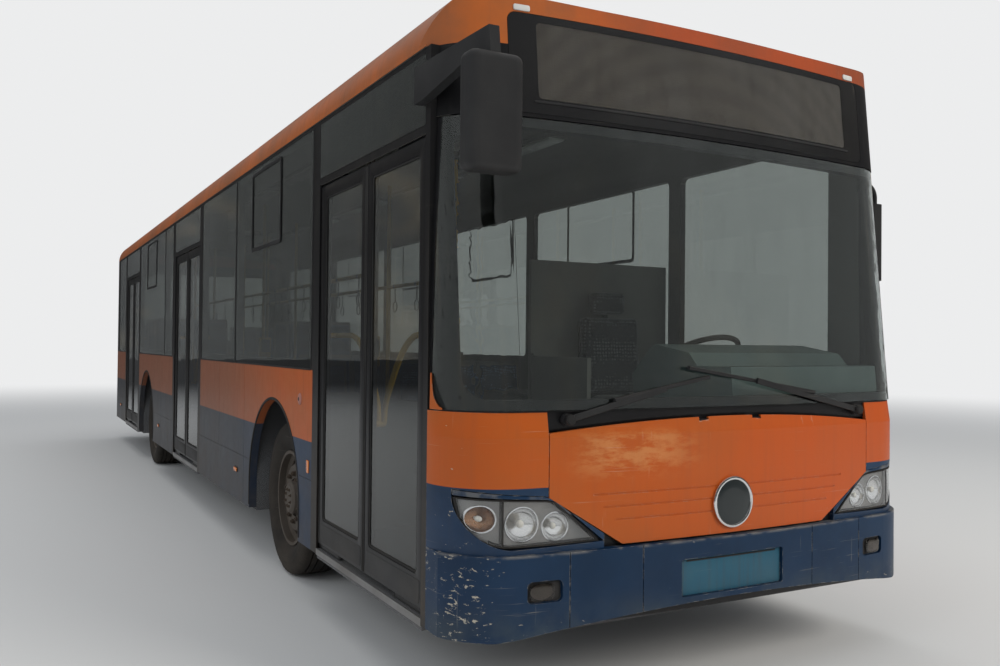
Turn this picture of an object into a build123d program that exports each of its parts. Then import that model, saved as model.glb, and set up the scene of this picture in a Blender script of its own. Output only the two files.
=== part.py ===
"""City bus, 12 m low-floor type with three double doors, in millimetres.

The front looks to -Y, the door side is at -X, up is +Z, and the origin lies on the road
below the middle of the bus with its mirrors. Lengths along the bus are stations, counted
from the middle of the front panel, and at() turns a station into a Y coordinate.
"""
import os
from math import asin, cos, pi, radians, sin, sqrt

from build123d import *

# Body
BUS_LENGTH = 11950
HALF_WIDTH = 1275
WALL = 50
SKIRT_Z = 330
BELT_Z = 1310
CANT_Z = 2660
COVE_R = 250
CAMBER_R = 7800
FRONT_R = 9000
CORNER_R = 300
REAR_CORNER_R = 150
RAKE = 0.097
RAKE_FOOT_Z = 1150
SIDE_START = 356
DOME_END = 700
TAIL_START = 11650
SEAT_GAP = 0.3
MOVE_GAP = 6

# Front panels
PANEL_T = 22
FRAME_T = 35
PANE_SEAT = 9
GLASS_T = 6
SCREEN_LOW_Z = 1205
SCREEN_TOP_Z = 2366
SCREEN_EDGE = 40
SCREEN_OPEN_X = 1205
SCREEN_END = 332
DOME_Z = 2370
BROW_S = 185
BROW_Z = 2866
SIGN_Z = 2385
SIGN_TOP_Z = 2800
SIGN_X = 1010
SIGN_CORNER = 40
FLAP_X = 898
FLAP_SIDE_Z = 1119
FLAP_TOP_Z = 1168
CREASE_Z = 1100
CREASE_SLOPE = 0.17
CREASE_CLEAR = 60
FLAP_KNEE_Z = 865
FLAP_FOOT_X = 565
FLAP_LOW_Z = 661
FLAP_GAP = 4
FLAP_RECESS = 14
FLAP_PIN_X = 150
FLAP_PIN_S = 16.5
FLAP_PIN_Z = 1147
FLAP_PIN_R = 4
FLAP_PIN_REACH = 16
FLAP_LUG_R = 7
FLAP_LUG_W = 40
FLAP_SKIN = 8
COWL_Z = 1198
GROOVES = [(868, 700), (817, 655), (764, 597)]
GROOVE_W = 7
GROOVE_T = 3
BADGE_Z = 796
BADGE_R = 110
BADGE_T = 9
BUMPER_TOP_Z = 655
BUMPER_PROUD = 20
BUMPER_MID_Z = 400
BUMPER_ARCH_X = 1120
FOG_X = 919
FOG_Z = 512
FOG_W = 150
FOG_H = 84
PLATE_X = 285
PLATE_Z = 500
PLATE_H = 155
POCKET_T = 16
BUMPER_SEAMS = (477, 813)
SEAM_W = 4
SEAM_T = 6
LAMP_TOP_Z = 902
LAMP_LOW_Z = 674
LAMP_TIP_X = 650
LAMP_INSET = 4
LAMP_SEAT = 16

# Mirrors
MIRROR_REACH = 250
MIRROR_OUT = 1400
MIRROR_ARM_W = 40
MIRROR_W = 216
MIRROR_H = 411
MIRROR_D = 110
MIRROR_Z = 2255
ROAD_MIRROR_Z = 2030
ROAD_MIRROR_S = 400
ROAD_MIRROR_W = 105
BOW_Z = 2345
BOW_R = 13
BOW_BEND = 70

# Wipers
WIPER_X = 816
WIPER_Z = 1168
WIPER_LIFT = 28
WIPER_SEAT = 3.5
WIPER_HUB_R = 24
BLADE_H = 22

# Running gear
WHEEL_R = 478.5
TYRE_W = 275
RIM_R = 286
RIM_W = 210
FLANGE_H = 11
TYRE_SIDES = 48
# Half a tyre's outline from bore to tread: distance from its middle plane, radius
TYRE_OUTLINE = [(95.7, RIM_R + SEAT_GAP), (95.7, 298), (136, 386), (127, 452), (103, WHEEL_R)]
RIM_SHEET = 9
FRONT_AXLE = 2730
REAR_AXLE = 8575
FRONT_WHEEL_X = 1050
KINGPIN_X = 930
TWIN_OUTER_X = 1052
TWIN_PITCH = 312
ARCH_R = 590
ARCH_Z = 510
BOX_TOP_Z = 1106
FRONT_BOX_X = 530
REAR_BOX_X = 560
BOX_SHEET = 6
HUB_R = 128
KINGPIN_R = 16
STUB_R = 35
BOSS_R = 45
BOSS_H = 120
YOKE_T = 60
SPINDLE_R = 50
HUB_NOSE = 34
PORTAL_R = 90
CROSS_STATIONS = (900, 1900, 3500, 4700, 5900, 7100, 9400, 10400)
BEAM_X = 430
BEAM_W = 70
BEAM_H = 85
BEAM_GAP = 360
ROD_W = 46
PAD_X = 500
PAD_R = 45
PAD_T = 15
AXLE_Z = 215
AXLE_H = 90
AXLE_W = 120

# Floor and doors
FLOOR_Z = 358
FLOOR_T = 50
LEAF_Z = 388
LEAF_TOP = 2300
LEAF_T = 40
LEAF_INSET = 10
LEAF_LEAD = 25
LEAF_TRAIL = 28
LEAF_RAIL = 62
KICK_RAIL = 130
GRAB_R = 14
GRAB_REACH = 52
GRAB_TOP_Z = 1500
GRAB_LOW_Z = 1080
GRAB_BENDS = [30, 150, 30]
JAMB_LAP = 8
SKIN_T = 8
HEADER_Z = 2336
HEADER_TOP_Z = 2590
HEADER_D = 180
PILLAR_R = 14
ARM_W = 22
ARM_T = 16
PIN_R = 8
PIN_FIT = 0.3
BOSS_WALL = 7
ROLLER_R = 10
TRACK_H = 26
MEET_GAP = 8
SILL_H = 32

# Doorways: name, middle station, clear width between the door posts
DOORWAYS = [
    ("front", 1100, 1396),
    ("middle", 5905, 1300),
    ("rear", 10015, 1300),
]

# Side glass: first and last station of each bonded pane
DOOR_SIDE_PANES = [(1925, 3815), (3825, 5125), (6685, 7205), (7215, 9235), (10795, 11560)]
ROAD_SIDE_PANES = [(520, 1880), (1890, 3815), (3825, 5510), (5520, 7205), (7215, 9235), (9245, 11560)]

# Panel seams of each side: first and last station, lowest and highest point
DOOR_SIDE_SEAMS = [
    (1900, 2130, 704, 708),
    (3322, 5180, 658, 662),
    (6640, 7983, 658, 662),
    (9167, 9300, 658, 662),
    (10730, 11640, 658, 662),
    (3503, 3507, 340, 1300),
    (4348, 4352, 664, 1300),
    (7398, 7402, 340, 1300),
    (11038, 11042, 340, 1300),
]
ROAD_SIDE_SEAMS = [
    (400, 2138, 658, 662),
    (3322, 7983, 658, 662),
    (9167, 11640, 658, 662),
    (1298, 1302, 340, 1300),
    (3503, 3507, 340, 1300),
    (4698, 4702, 340, 1300),
    (5898, 5902, 340, 1300),
    (7098, 7102, 340, 1300),
    (9598, 9602, 340, 1300),
    (10798, 10802, 340, 1300),
]
SIDE_SEAM_T = 3
PANE_T = 5.5
PANE_TOP = 2645
PANE_FRAME = 55

# Roof hatches
HATCH = 640
HATCH_STATIONS = (3100, 9300)
CURB_T = 30
CURB_H = 16
LID_LAP = 8
LID_T = 26
RIM_DEPTH = 34

# Rear end
LID_X = 860
LID_Z = 560
LID_TOP_Z = 1250
LID_SHEET = 22
LID_GAP = 10
LID_PIN_R = 5
LID_PIN_REACH = 24
REAR_PANE_X = 1000
REAR_PANE_Z = 1430
REAR_PANE_TOP_Z = 2560
LAMP_COLUMN_X = 1010
LAMP_COLUMN_W = 110
REAR_BUMPER_TOP_Z = 545
REAR_BUMPER_T = 28

# Cab
CAB_FLOOR_Z = 650
CAB_X = 180
CAB_END = 1960
DASH_Z = 1430
DASH_START = 300
DASH_END = 800
WHEEL_RING_R = 225
WHEEL_TUBE_R = 15
WHEEL_X = 640
WHEEL_S = 960
WHEEL_Z = 1405
COLUMN_TILT = 28
COLUMN_DROP = 107
CAB_DOOR_T = 26
CAB_DOOR_TOP = 1390
CAB_PIN_X = 163
CAB_PIN_S = 1946
CAB_PIN_R = 6

# Seats: side (+1 road side, -1 door side), station of the front edge, floor height, leg height
SEAT_W = 420
SEAT_PAN = 420
SEAT_BACK_H = 560
SEAT_SHELL = 28
CUSHION_T = 32
SEAT_LEG = 400
BOX_LEG = 70
COVER_START = 10750
COVER_END = 11750
COVER_T = 12
ENGINE_X = 100
ENGINE_W = 1150
ENGINE_S = 11330
ENGINE_L = 820
ENGINE_Z = 300
BENCH_Z = 880
BENCH_LEG = 260
SEAT_X = 790
SEAT_ROWS = [
    (1, 3560, FLOOR_Z, SEAT_LEG),
    (1, 4310, FLOOR_Z, SEAT_LEG),
    (1, 6750, FLOOR_Z, SEAT_LEG),
    (1, 7400, FLOOR_Z, SEAT_LEG),
    (1, 8010, BOX_TOP_Z, BOX_LEG),
    (1, 8640, BOX_TOP_Z, BOX_LEG),
    (1, 9420, FLOOR_Z, SEAT_LEG),
    (1, 10140, FLOOR_Z, SEAT_LEG),
    (1, 11250, BENCH_Z, BENCH_LEG),
    (-1, 3560, FLOOR_Z, SEAT_LEG),
    (-1, 4310, FLOOR_Z, SEAT_LEG),
    (-1, 6850, FLOOR_Z, SEAT_LEG),
    (-1, 7420, FLOOR_Z, SEAT_LEG),
    (-1, 8010, BOX_TOP_Z, BOX_LEG),
    (-1, 8640, BOX_TOP_Z, BOX_LEG),
    (-1, 11250, BENCH_Z, BENCH_LEG),
]
POLE_R = 17.5
POLE_X = 350
POLE_STATIONS = (3520, 4900, 6700, 7960, 9320, 10720)
RAIL_Z = 1980

FRONT_Y = -(BUS_LENGTH - MIRROR_REACH) / 2
HINGE_X = -(HALF_WIDTH - LEAF_INSET - LEAF_T / 2)
FLAP_PIN_Y = FRONT_Y + FLAP_PIN_S
LID_PIN_Y = FRONT_Y + BUS_LENGTH - LID_SHEET / 2
LID_PIN_Z = LID_TOP_Z - LID_GAP - LID_SHEET / 2
COVE_X = HALF_WIDTH - COVE_R
CAMBER_Z = CANT_Z - sqrt((CAMBER_R - COVE_R) ** 2 - COVE_X**2)
ROOF_Z = CAMBER_Z + CAMBER_R
CORNER_X = HALF_WIDTH - CORNER_R
CORNER_S = FRONT_R - sqrt((FRONT_R - CORNER_R) ** 2 - CORNER_X**2)
FAR = 3 * HALF_WIDTH

os.makedirs("parts", exist_ok=True)


def at(station):
    """Y coordinate of a station along the bus."""
    return FRONT_Y + station


def save(piece, name):
    """Label a finished piece and write it as one file."""
    piece.part.label = name
    export_step(piece.part, f"parts/{name}.step")


def front_plan(inset, back=1500):
    """Face of the front end in plan, moved inward by an inset and closed at a back station."""
    turn = asin(CORNER_X / (FRONT_R - CORNER_R))
    bow = FRONT_R - inset
    bend = CORNER_R - inset
    join_x = bow * sin(turn)
    join_y = at(FRONT_R - bow * cos(turn))
    half = (turn + radians(90)) / 2
    mid_x = CORNER_X + bend * sin(half)
    mid_y = at(CORNER_S - bend * cos(half))
    side_x = HALF_WIDTH - inset
    with BuildSketch() as plan:
        with BuildLine():
            ThreePointArc((-join_x, join_y), (0, at(inset)), (join_x, join_y))
            ThreePointArc((join_x, join_y), (mid_x, mid_y), (side_x, at(CORNER_S)))
            Polyline(
                (side_x, at(CORNER_S)), (side_x, at(back)), (-side_x, at(back)), (-side_x, at(CORNER_S))
            )
            ThreePointArc((-side_x, at(CORNER_S)), (-mid_x, mid_y), (-join_x, join_y))
        make_face()
    return plan.sketch


def front_band(outer, inner, back):
    """Faces between two insets of the front plan, ahead of a back station."""
    with BuildSketch() as band:
        add(front_plan(outer))
        add(front_plan(inner), mode=Mode.SUBTRACT)
        with Locations((0, at(back - 500))):
            Rectangle(FAR, 1000, mode=Mode.INTERSECT)
    return band.sketch


def section(inset, low):
    """Face of the body's cross-section above a height, moved inward by an inset."""
    turn = asin(COVE_X / (CAMBER_R - COVE_R))
    roof = CAMBER_R - inset
    bend = COVE_R - inset
    join_x = roof * sin(turn)
    join_z = CAMBER_Z + roof * cos(turn)
    half = (radians(90) + turn) / 2
    mid_x = COVE_X + bend * sin(half)
    mid_z = CANT_Z + bend * cos(half)
    side_x = HALF_WIDTH - inset
    with BuildSketch() as face:
        with BuildLine():
            ThreePointArc((-join_x, join_z), (0, CAMBER_Z + roof), (join_x, join_z))
            ThreePointArc((join_x, join_z), (mid_x, mid_z), (side_x, CANT_Z))
            Polyline((side_x, CANT_Z), (side_x, 0), (-side_x, 0), (-side_x, CANT_Z))
            ThreePointArc((-side_x, CANT_Z), (-mid_x, mid_z), (-join_x, join_z))
        make_face()
        with Locations((0, low + FAR / 2)):
            Rectangle(FAR, FAR, mode=Mode.INTERSECT)
    return face.sketch


def raked_band(outer, inner, back, low, high):
    """Solid of a front band that leans back with the windscreen."""
    with BuildPart() as band:
        with BuildSketch(Plane.XY.offset(low)):
            with Locations((0, RAKE * (low - RAKE_FOOT_Z))):
                add(front_band(outer, inner, back))
        extrude(amount=(high - low) * sqrt(1 + RAKE**2), dir=(0, RAKE, 1))
        with BuildSketch(Plane.XY.offset(low)):
            with Locations((0, at(back - 500))):
                Rectangle(FAR, 1000)
        extrude(amount=high - low, mode=Mode.INTERSECT)
    return band.part


def upright_band(outer, inner, back, low, high):
    """Solid of an upright front band between two heights."""
    with BuildPart() as band:
        with BuildSketch(Plane.XY.offset(low)):
            add(front_band(outer, inner, back))
        extrude(amount=high - low)
    return band.part


def front_cut(outline):
    """Solid that runs along the bus through the whole front end, from a front-view face."""
    with BuildPart() as cut:
        with BuildSketch(Plane.XZ.offset(-at(DOME_END))):
            add(outline)
        extrude(amount=DOME_END + 200)
    return cut.part


def window_face(half_x, low, high, corner):
    """Rounded front-view rectangle on the middle line."""
    with BuildSketch() as face:
        with Locations((0, (low + high) / 2)):
            RectangleRounded(2 * half_x, high - low, corner)
    return face.sketch


# Roof, with curbs round the openings for two hatches
with BuildPart() as roof:
    with BuildSketch(Plane.XZ.offset(-at(TAIL_START - SEAT_GAP))):
        add(section(0, CANT_Z))
        add(section(WALL, CANT_Z - 100), mode=Mode.SUBTRACT)
    extrude(amount=TAIL_START - DOME_END - 2 * SEAT_GAP)
    with BuildSketch(Plane.XY.offset(ROOF_Z - WALL / 2)):
        with Locations(*[(0, at(station)) for station in HATCH_STATIONS]):
            Rectangle(HATCH + 2 * CURB_T, HATCH + 2 * CURB_T)
    extrude(amount=WALL / 2 + CURB_H)
    with BuildSketch(Plane.XY.offset(ROOF_Z + 100)):
        with Locations(*[(0, at(station)) for station in HATCH_STATIONS]):
            Rectangle(HATCH, HATCH)
    extrude(amount=-300, mode=Mode.SUBTRACT)
save(roof, "roof")

# Roof hatches, each a lid with a rim inside its curb
for tag, station in zip(("front", "rear"), HATCH_STATIONS):
    lid = HATCH + 2 * (CURB_T + LID_LAP)
    with BuildPart() as hatch:
        with BuildSketch(Plane.XY.offset(ROOF_Z + CURB_H + SEAT_GAP)):
            with Locations((0, at(station))):
                RectangleRounded(lid, lid, 50)
        extrude(amount=LID_T)
        chamfer(hatch.edges().group_by(Axis.Z)[-1], 8)
        with BuildSketch(Plane.XY.offset(ROOF_Z + CURB_H + SEAT_GAP)):
            with Locations((0, at(station))):
                Rectangle(HATCH - 4 * MOVE_GAP, HATCH - 4 * MOVE_GAP)
                Rectangle(HATCH - 8 * MOVE_GAP, HATCH - 8 * MOVE_GAP, mode=Mode.SUBTRACT)
        extrude(amount=-RIM_DEPTH)
    save(hatch, f"roof_hatch_{tag}")

def flap_face(shrink):
    """Front-view face of the front flap, drawn in by a gap."""
    with BuildSketch() as face:
        with BuildLine():
            ThreePointArc((-FLAP_X, FLAP_SIDE_Z), (0, FLAP_TOP_Z), (FLAP_X, FLAP_SIDE_Z))
            Polyline(
                (FLAP_X, FLAP_SIDE_Z),
                (FLAP_X, FLAP_KNEE_Z),
                (FLAP_FOOT_X, FLAP_LOW_Z),
                (-FLAP_FOOT_X, FLAP_LOW_Z),
                (-FLAP_X, FLAP_KNEE_Z),
                (-FLAP_X, FLAP_SIDE_Z),
            )
        make_face()
        if shrink:
            offset(amount=-shrink, kind=Kind.INTERSECTION)
    return face.sketch


def lamp_face(grow):
    """Front-view face of the road-side headlamp, grown by a gap."""
    with BuildSketch() as face:
        with BuildLine():
            Polyline(
                (HALF_WIDTH - 40, LAMP_TOP_Z),
                (FLAP_X + 14, LAMP_TOP_Z - 28),
                (FLAP_X - 30, LAMP_TOP_Z - 42),
                (LAMP_TIP_X, LAMP_LOW_Z + 10),
                (FLAP_X + 150, LAMP_LOW_Z),
            )
            ThreePointArc(
                (FLAP_X + 150, LAMP_LOW_Z), (HALF_WIDTH - 80, LAMP_LOW_Z + 80), (HALF_WIDTH - 40, LAMP_TOP_Z)
            )
        make_face()
        if grow:
            offset(amount=grow, kind=Kind.INTERSECTION)
    return face.sketch


# Front frame: the structure behind the panels, open at the windscreen, with the flap's hinge lugs
with BuildPart() as flap_recess:
    add(upright_band(-PANEL_T, PANEL_T + FLAP_RECESS, SIDE_START, FLAP_LOW_Z - 20, COWL_Z))
    add(front_cut(flap_face(-2 * FLAP_GAP)), mode=Mode.INTERSECT)
with BuildPart() as front_frame:
    add(upright_band(PANEL_T + SEAT_GAP, PANEL_T + FRAME_T, SIDE_START, SKIRT_Z + 30, RAKE_FOOT_Z))
    add(raked_band(PANE_SEAT, PANEL_T + FRAME_T, SIDE_START, RAKE_FOOT_Z, SCREEN_TOP_Z))
    add(
        front_cut(
            window_face(SCREEN_OPEN_X, SCREEN_LOW_Z + SCREEN_EDGE, SCREEN_TOP_Z - SCREEN_EDGE, 90)
        ),
        mode=Mode.SUBTRACT,
    )
    with BuildSketch(Plane.XY.offset(RAKE_FOOT_Z - 1)):
        add(front_band(-PANEL_T, PANEL_T + SEAT_GAP, SIDE_START))
    extrude(amount=COWL_Z - RAKE_FOOT_Z + 1, mode=Mode.SUBTRACT)
    add(flap_recess.part, mode=Mode.SUBTRACT)
    add(front_cut(lamp_face(-LAMP_SEAT)), mode=Mode.SUBTRACT)
    add(front_cut(lamp_face(-LAMP_SEAT).mirror(Plane.YZ)), mode=Mode.SUBTRACT)
    for side in (-1, 1):
        with BuildSketch(Plane.YZ.offset(side * FLAP_PIN_X - FLAP_LUG_W / 2)):
            with Locations((FLAP_PIN_Y, FLAP_PIN_Z)):
                Circle(FLAP_LUG_R)
            with Locations(((FLAP_PIN_Y + at(PANEL_T + FRAME_T)) / 2, FLAP_PIN_Z)):
                Rectangle(at(PANEL_T + FRAME_T) - FLAP_PIN_Y, 2 * FLAP_LUG_R)
        extrude(amount=FLAP_LUG_W)
        with BuildSketch(Plane.YZ.offset(side * FLAP_PIN_X - FLAP_LUG_W / 2 - MOVE_GAP - FLAP_PIN_REACH)):
            with Locations((FLAP_PIN_Y, FLAP_PIN_Z)):
                Circle(FLAP_PIN_R)
        extrude(amount=FLAP_LUG_W + 2 * MOVE_GAP + 2 * FLAP_PIN_REACH)
save(front_frame, "front_frame")

# Windscreen, one curved pane round both corners
with BuildPart() as windscreen:
    add(
        raked_band(
            PANE_SEAT - SEAT_GAP - GLASS_T,
            PANE_SEAT - SEAT_GAP,
            SCREEN_END,
            SCREEN_LOW_Z + SEAT_GAP,
            SCREEN_TOP_Z,
        )
    )
save(windscreen, "windscreen")


def dome_blank(inset, low):
    """Solid under the skin of the front dome, moved inward by an inset."""
    with BuildPart() as blank:
        with BuildSketch(Plane.XY.offset(low)):
            with Locations((0, RAKE * (low - RAKE_FOOT_Z))):
                add(front_plan(inset))
        extrude(amount=ROOF_Z + 200 - low, dir=(0, RAKE, 1))
        with BuildSketch(Plane.XZ.offset(-at(DOME_END))):
            add(section(inset, low))
        extrude(amount=DOME_END + 200, mode=Mode.INTERSECT)
        with BuildSketch(Plane.YZ.offset(-FAR / 2)):
            with BuildLine():
                Polyline(
                    (at(-200), BROW_Z - inset),
                    (at(BROW_S), BROW_Z - inset),
                    (at(DOME_END - 5), ROOF_Z - inset + 1),
                    (at(DOME_END - 5), ROOF_Z + 400),
                    (at(-200), ROOF_Z + 400),
                    close=True,
                )
            make_face()
        extrude(amount=FAR, mode=Mode.SUBTRACT)
    return blank.part


# Front dome, the rounded roof front round the destination sign
with BuildPart() as front_dome:
    add(dome_blank(0, DOME_Z))
    add(dome_blank(WALL, DOME_Z - 60), mode=Mode.SUBTRACT)
    with BuildSketch(Plane.XY.offset(DOME_Z - 10)):
        with Locations((0, at(SIDE_START + 1000))):
            Rectangle(FAR, 2000)
    extrude(amount=CANT_Z - DOME_Z + 10, mode=Mode.SUBTRACT)
    add(front_cut(window_face(SIGN_X, SIGN_Z, SIGN_TOP_Z, SIGN_CORNER)), mode=Mode.SUBTRACT)
save(front_dome, "front_dome")

# Destination sign, the pane in the dome's opening
with BuildPart() as sign:
    add(raked_band(2, 2 + GLASS_T, SIDE_START, SIGN_Z - 60, SIGN_TOP_Z + 60))
    add(
        front_cut(
            window_face(
                SIGN_X - SEAT_GAP, SIGN_Z + SEAT_GAP, SIGN_TOP_Z - SEAT_GAP, SIGN_CORNER - SEAT_GAP
            )
        ),
        mode=Mode.INTERSECT,
    )
save(sign, "destination_sign")


def crease_cut():
    """Solid ahead of the front panels that slopes them back above their crease."""
    with BuildPart() as cut:
        with BuildSketch(Plane.XY.offset(CREASE_Z)):
            add(front_band(-CREASE_CLEAR, 0, SIDE_START + CREASE_CLEAR))
        extrude(amount=(COWL_Z + 20 - CREASE_Z) * sqrt(1 + CREASE_SLOPE**2), dir=(0, CREASE_SLOPE, 1))
    return cut.part


# Front corner panels with the headlamp openings
with BuildPart() as front_corners:
    add(upright_band(0, PANEL_T, SIDE_START, BUMPER_TOP_Z + SEAT_GAP, COWL_Z - SEAT_GAP))
    add(front_cut(flap_face(0)), mode=Mode.SUBTRACT)
    with BuildSketch(Plane.XY.offset(BUMPER_TOP_Z)):
        with Locations((0, at(0))):
            Rectangle(2 * LAMP_TIP_X, SIDE_START)
    extrude(amount=SCREEN_LOW_Z - BUMPER_TOP_Z + 10, mode=Mode.SUBTRACT)
    with BuildSketch(Plane.XY.offset(FLAP_SIDE_Z - 1)):
        with Locations((0, at(0))):
            Rectangle(2 * FLAP_X, SIDE_START)
    extrude(amount=SCREEN_LOW_Z - FLAP_SIDE_Z + 10, mode=Mode.SUBTRACT)
    add(front_cut(lamp_face(SEAT_GAP)), mode=Mode.SUBTRACT)
    add(front_cut(lamp_face(SEAT_GAP).mirror(Plane.YZ)), mode=Mode.SUBTRACT)
    add(crease_cut(), mode=Mode.SUBTRACT)
save(front_corners, "front_corners")

# Front flap with three grooves and a bare badge disc, hinged along its upper edge
with BuildPart() as front_flap:
    add(upright_band(0, PANEL_T, SIDE_START, FLAP_LOW_Z, FLAP_TOP_Z))
    add(front_cut(flap_face(FLAP_GAP)), mode=Mode.INTERSECT)
    with BuildSketch(Plane.XZ.offset(-at(PANEL_T / 2))):
        with Locations((0, BADGE_Z)):
            Circle(BADGE_R)
    extrude(amount=PANEL_T / 2 + BADGE_T)
with BuildSketch() as groove_faces:
    for groove_z, half in GROOVES:
        with Locations((0, groove_z)):
            Rectangle(2 * half, GROOVE_W)
    with Locations((0, BADGE_Z)):
        Circle(BADGE_R + 4, mode=Mode.SUBTRACT)
with BuildPart() as grooves:
    add(upright_band(-BADGE_T, GROOVE_T, SIDE_START, FLAP_LOW_Z, FLAP_TOP_Z))
    add(front_cut(groove_faces.sketch), mode=Mode.INTERSECT)
with BuildPart() as grooved_flap:
    add(front_flap.part)
    add(grooves.part, mode=Mode.SUBTRACT)
    add(crease_cut(), mode=Mode.SUBTRACT)
    for side in (-1, 1):
        with BuildSketch(Plane.YZ.offset(side * FLAP_PIN_X - FLAP_LUG_W / 2 - MOVE_GAP)):
            with Locations((at(FLAP_SKIN + 1.5 + 50), FLAP_PIN_Z + 20)):
                Rectangle(100, 80)
        extrude(amount=FLAP_LUG_W + 2 * MOVE_GAP, mode=Mode.SUBTRACT)
        with BuildSketch(Plane.YZ.offset(side * FLAP_PIN_X - FLAP_LUG_W / 2 - MOVE_GAP - FLAP_PIN_REACH - 1)):
            with Locations((FLAP_PIN_Y, FLAP_PIN_Z)):
                Circle(FLAP_PIN_R + PIN_FIT)
        extrude(amount=FLAP_LUG_W + 2 * MOVE_GAP + 2 * FLAP_PIN_REACH + 2, mode=Mode.SUBTRACT)
save(grooved_flap, "front_flap")

# Front bumper with fog lamp pockets and a bare plate pocket
with BuildSketch() as pocket_faces:
    with Locations((FOG_X, FOG_Z), (-FOG_X, FOG_Z)):
        RectangleRounded(FOG_W, FOG_H, 22)
    with Locations((0, PLATE_Z)):
        RectangleRounded(2 * PLATE_X, PLATE_H, 12)
with BuildPart() as pockets:
    add(upright_band(-2 * BUMPER_PROUD, POCKET_T - BUMPER_PROUD, SIDE_START, SKIRT_Z, BUMPER_TOP_Z))
    add(front_cut(pocket_faces.sketch), mode=Mode.INTERSECT)
with BuildSketch() as bumper_seams:
    with Locations(*[(side * x, (SKIRT_Z + BUMPER_TOP_Z) / 2) for x in BUMPER_SEAMS for side in (-1, 1)]):
        Rectangle(SEAM_W, 2 * (BUMPER_TOP_Z - SKIRT_Z))
with BuildPart() as seams:
    add(upright_band(-2 * BUMPER_PROUD, SEAM_T - BUMPER_PROUD, SIDE_START, SKIRT_Z, BUMPER_TOP_Z))
    add(front_cut(bumper_seams.sketch), mode=Mode.INTERSECT)
with BuildSketch() as bumper_arch:
    with BuildLine():
        ThreePointArc((-BUMPER_ARCH_X, SKIRT_Z - 1), (0, BUMPER_MID_Z), (BUMPER_ARCH_X, SKIRT_Z - 1))
        Line((BUMPER_ARCH_X, SKIRT_Z - 1), (-BUMPER_ARCH_X, SKIRT_Z - 1))
    make_face()
with BuildPart() as front_bumper:
    add(upright_band(-BUMPER_PROUD, PANEL_T, SIDE_START, SKIRT_Z, BUMPER_TOP_Z))
    with BuildSketch(Plane.XY.offset(SKIRT_Z)):
        with Locations((0, at(0))):
            Rectangle(2 * HALF_WIDTH, 2 * SIDE_START)
    extrude(amount=BUMPER_TOP_Z - SKIRT_Z, mode=Mode.INTERSECT)
    add(front_cut(bumper_arch.sketch), mode=Mode.SUBTRACT)
    add(pockets.part, mode=Mode.SUBTRACT)
    add(seams.part, mode=Mode.SUBTRACT)
save(front_bumper, "front_bumper")

# Headlamps, fog lamps and rear lamp columns
with BuildSketch() as fog_faces:
    with Locations((FOG_X, FOG_Z), (-FOG_X, FOG_Z)):
        RectangleRounded(FOG_W - 2 * MOVE_GAP, FOG_H - 2 * MOVE_GAP, 16)
with BuildPart() as fog_lamps:
    add(
        upright_band(
            -BUMPER_PROUD + LAMP_INSET, POCKET_T - BUMPER_PROUD - SEAT_GAP, SIDE_START, SKIRT_Z, BUMPER_TOP_Z
        )
    )
    add(front_cut(fog_faces.sketch), mode=Mode.INTERSECT)
with BuildSketch() as lamp_faces:
    add(lamp_face(0))
    add(lamp_face(0).mirror(Plane.YZ))
    add(flap_face(-2 * FLAP_GAP), mode=Mode.SUBTRACT)
with BuildPart() as headlamps:
    add(upright_band(LAMP_INSET, PANEL_T, SIDE_START, LAMP_LOW_Z - 20, LAMP_TOP_Z + 20))
    add(front_cut(lamp_faces.sketch), mode=Mode.INTERSECT)
    add(fog_lamps.part)
    with BuildSketch(Plane.XZ.offset(-at(BUS_LENGTH))):
        with Locations(
            *[
                (side * (LAMP_COLUMN_X + LAMP_COLUMN_W / 2), (LID_Z + LID_TOP_Z) / 2)
                for side in (-1, 1)
            ]
        ):
            RectangleRounded(LAMP_COLUMN_W - 2, LID_TOP_Z - LID_Z - 2, 29)
    extrude(amount=PANE_T)
save(headlamps, "lamps")


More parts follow.
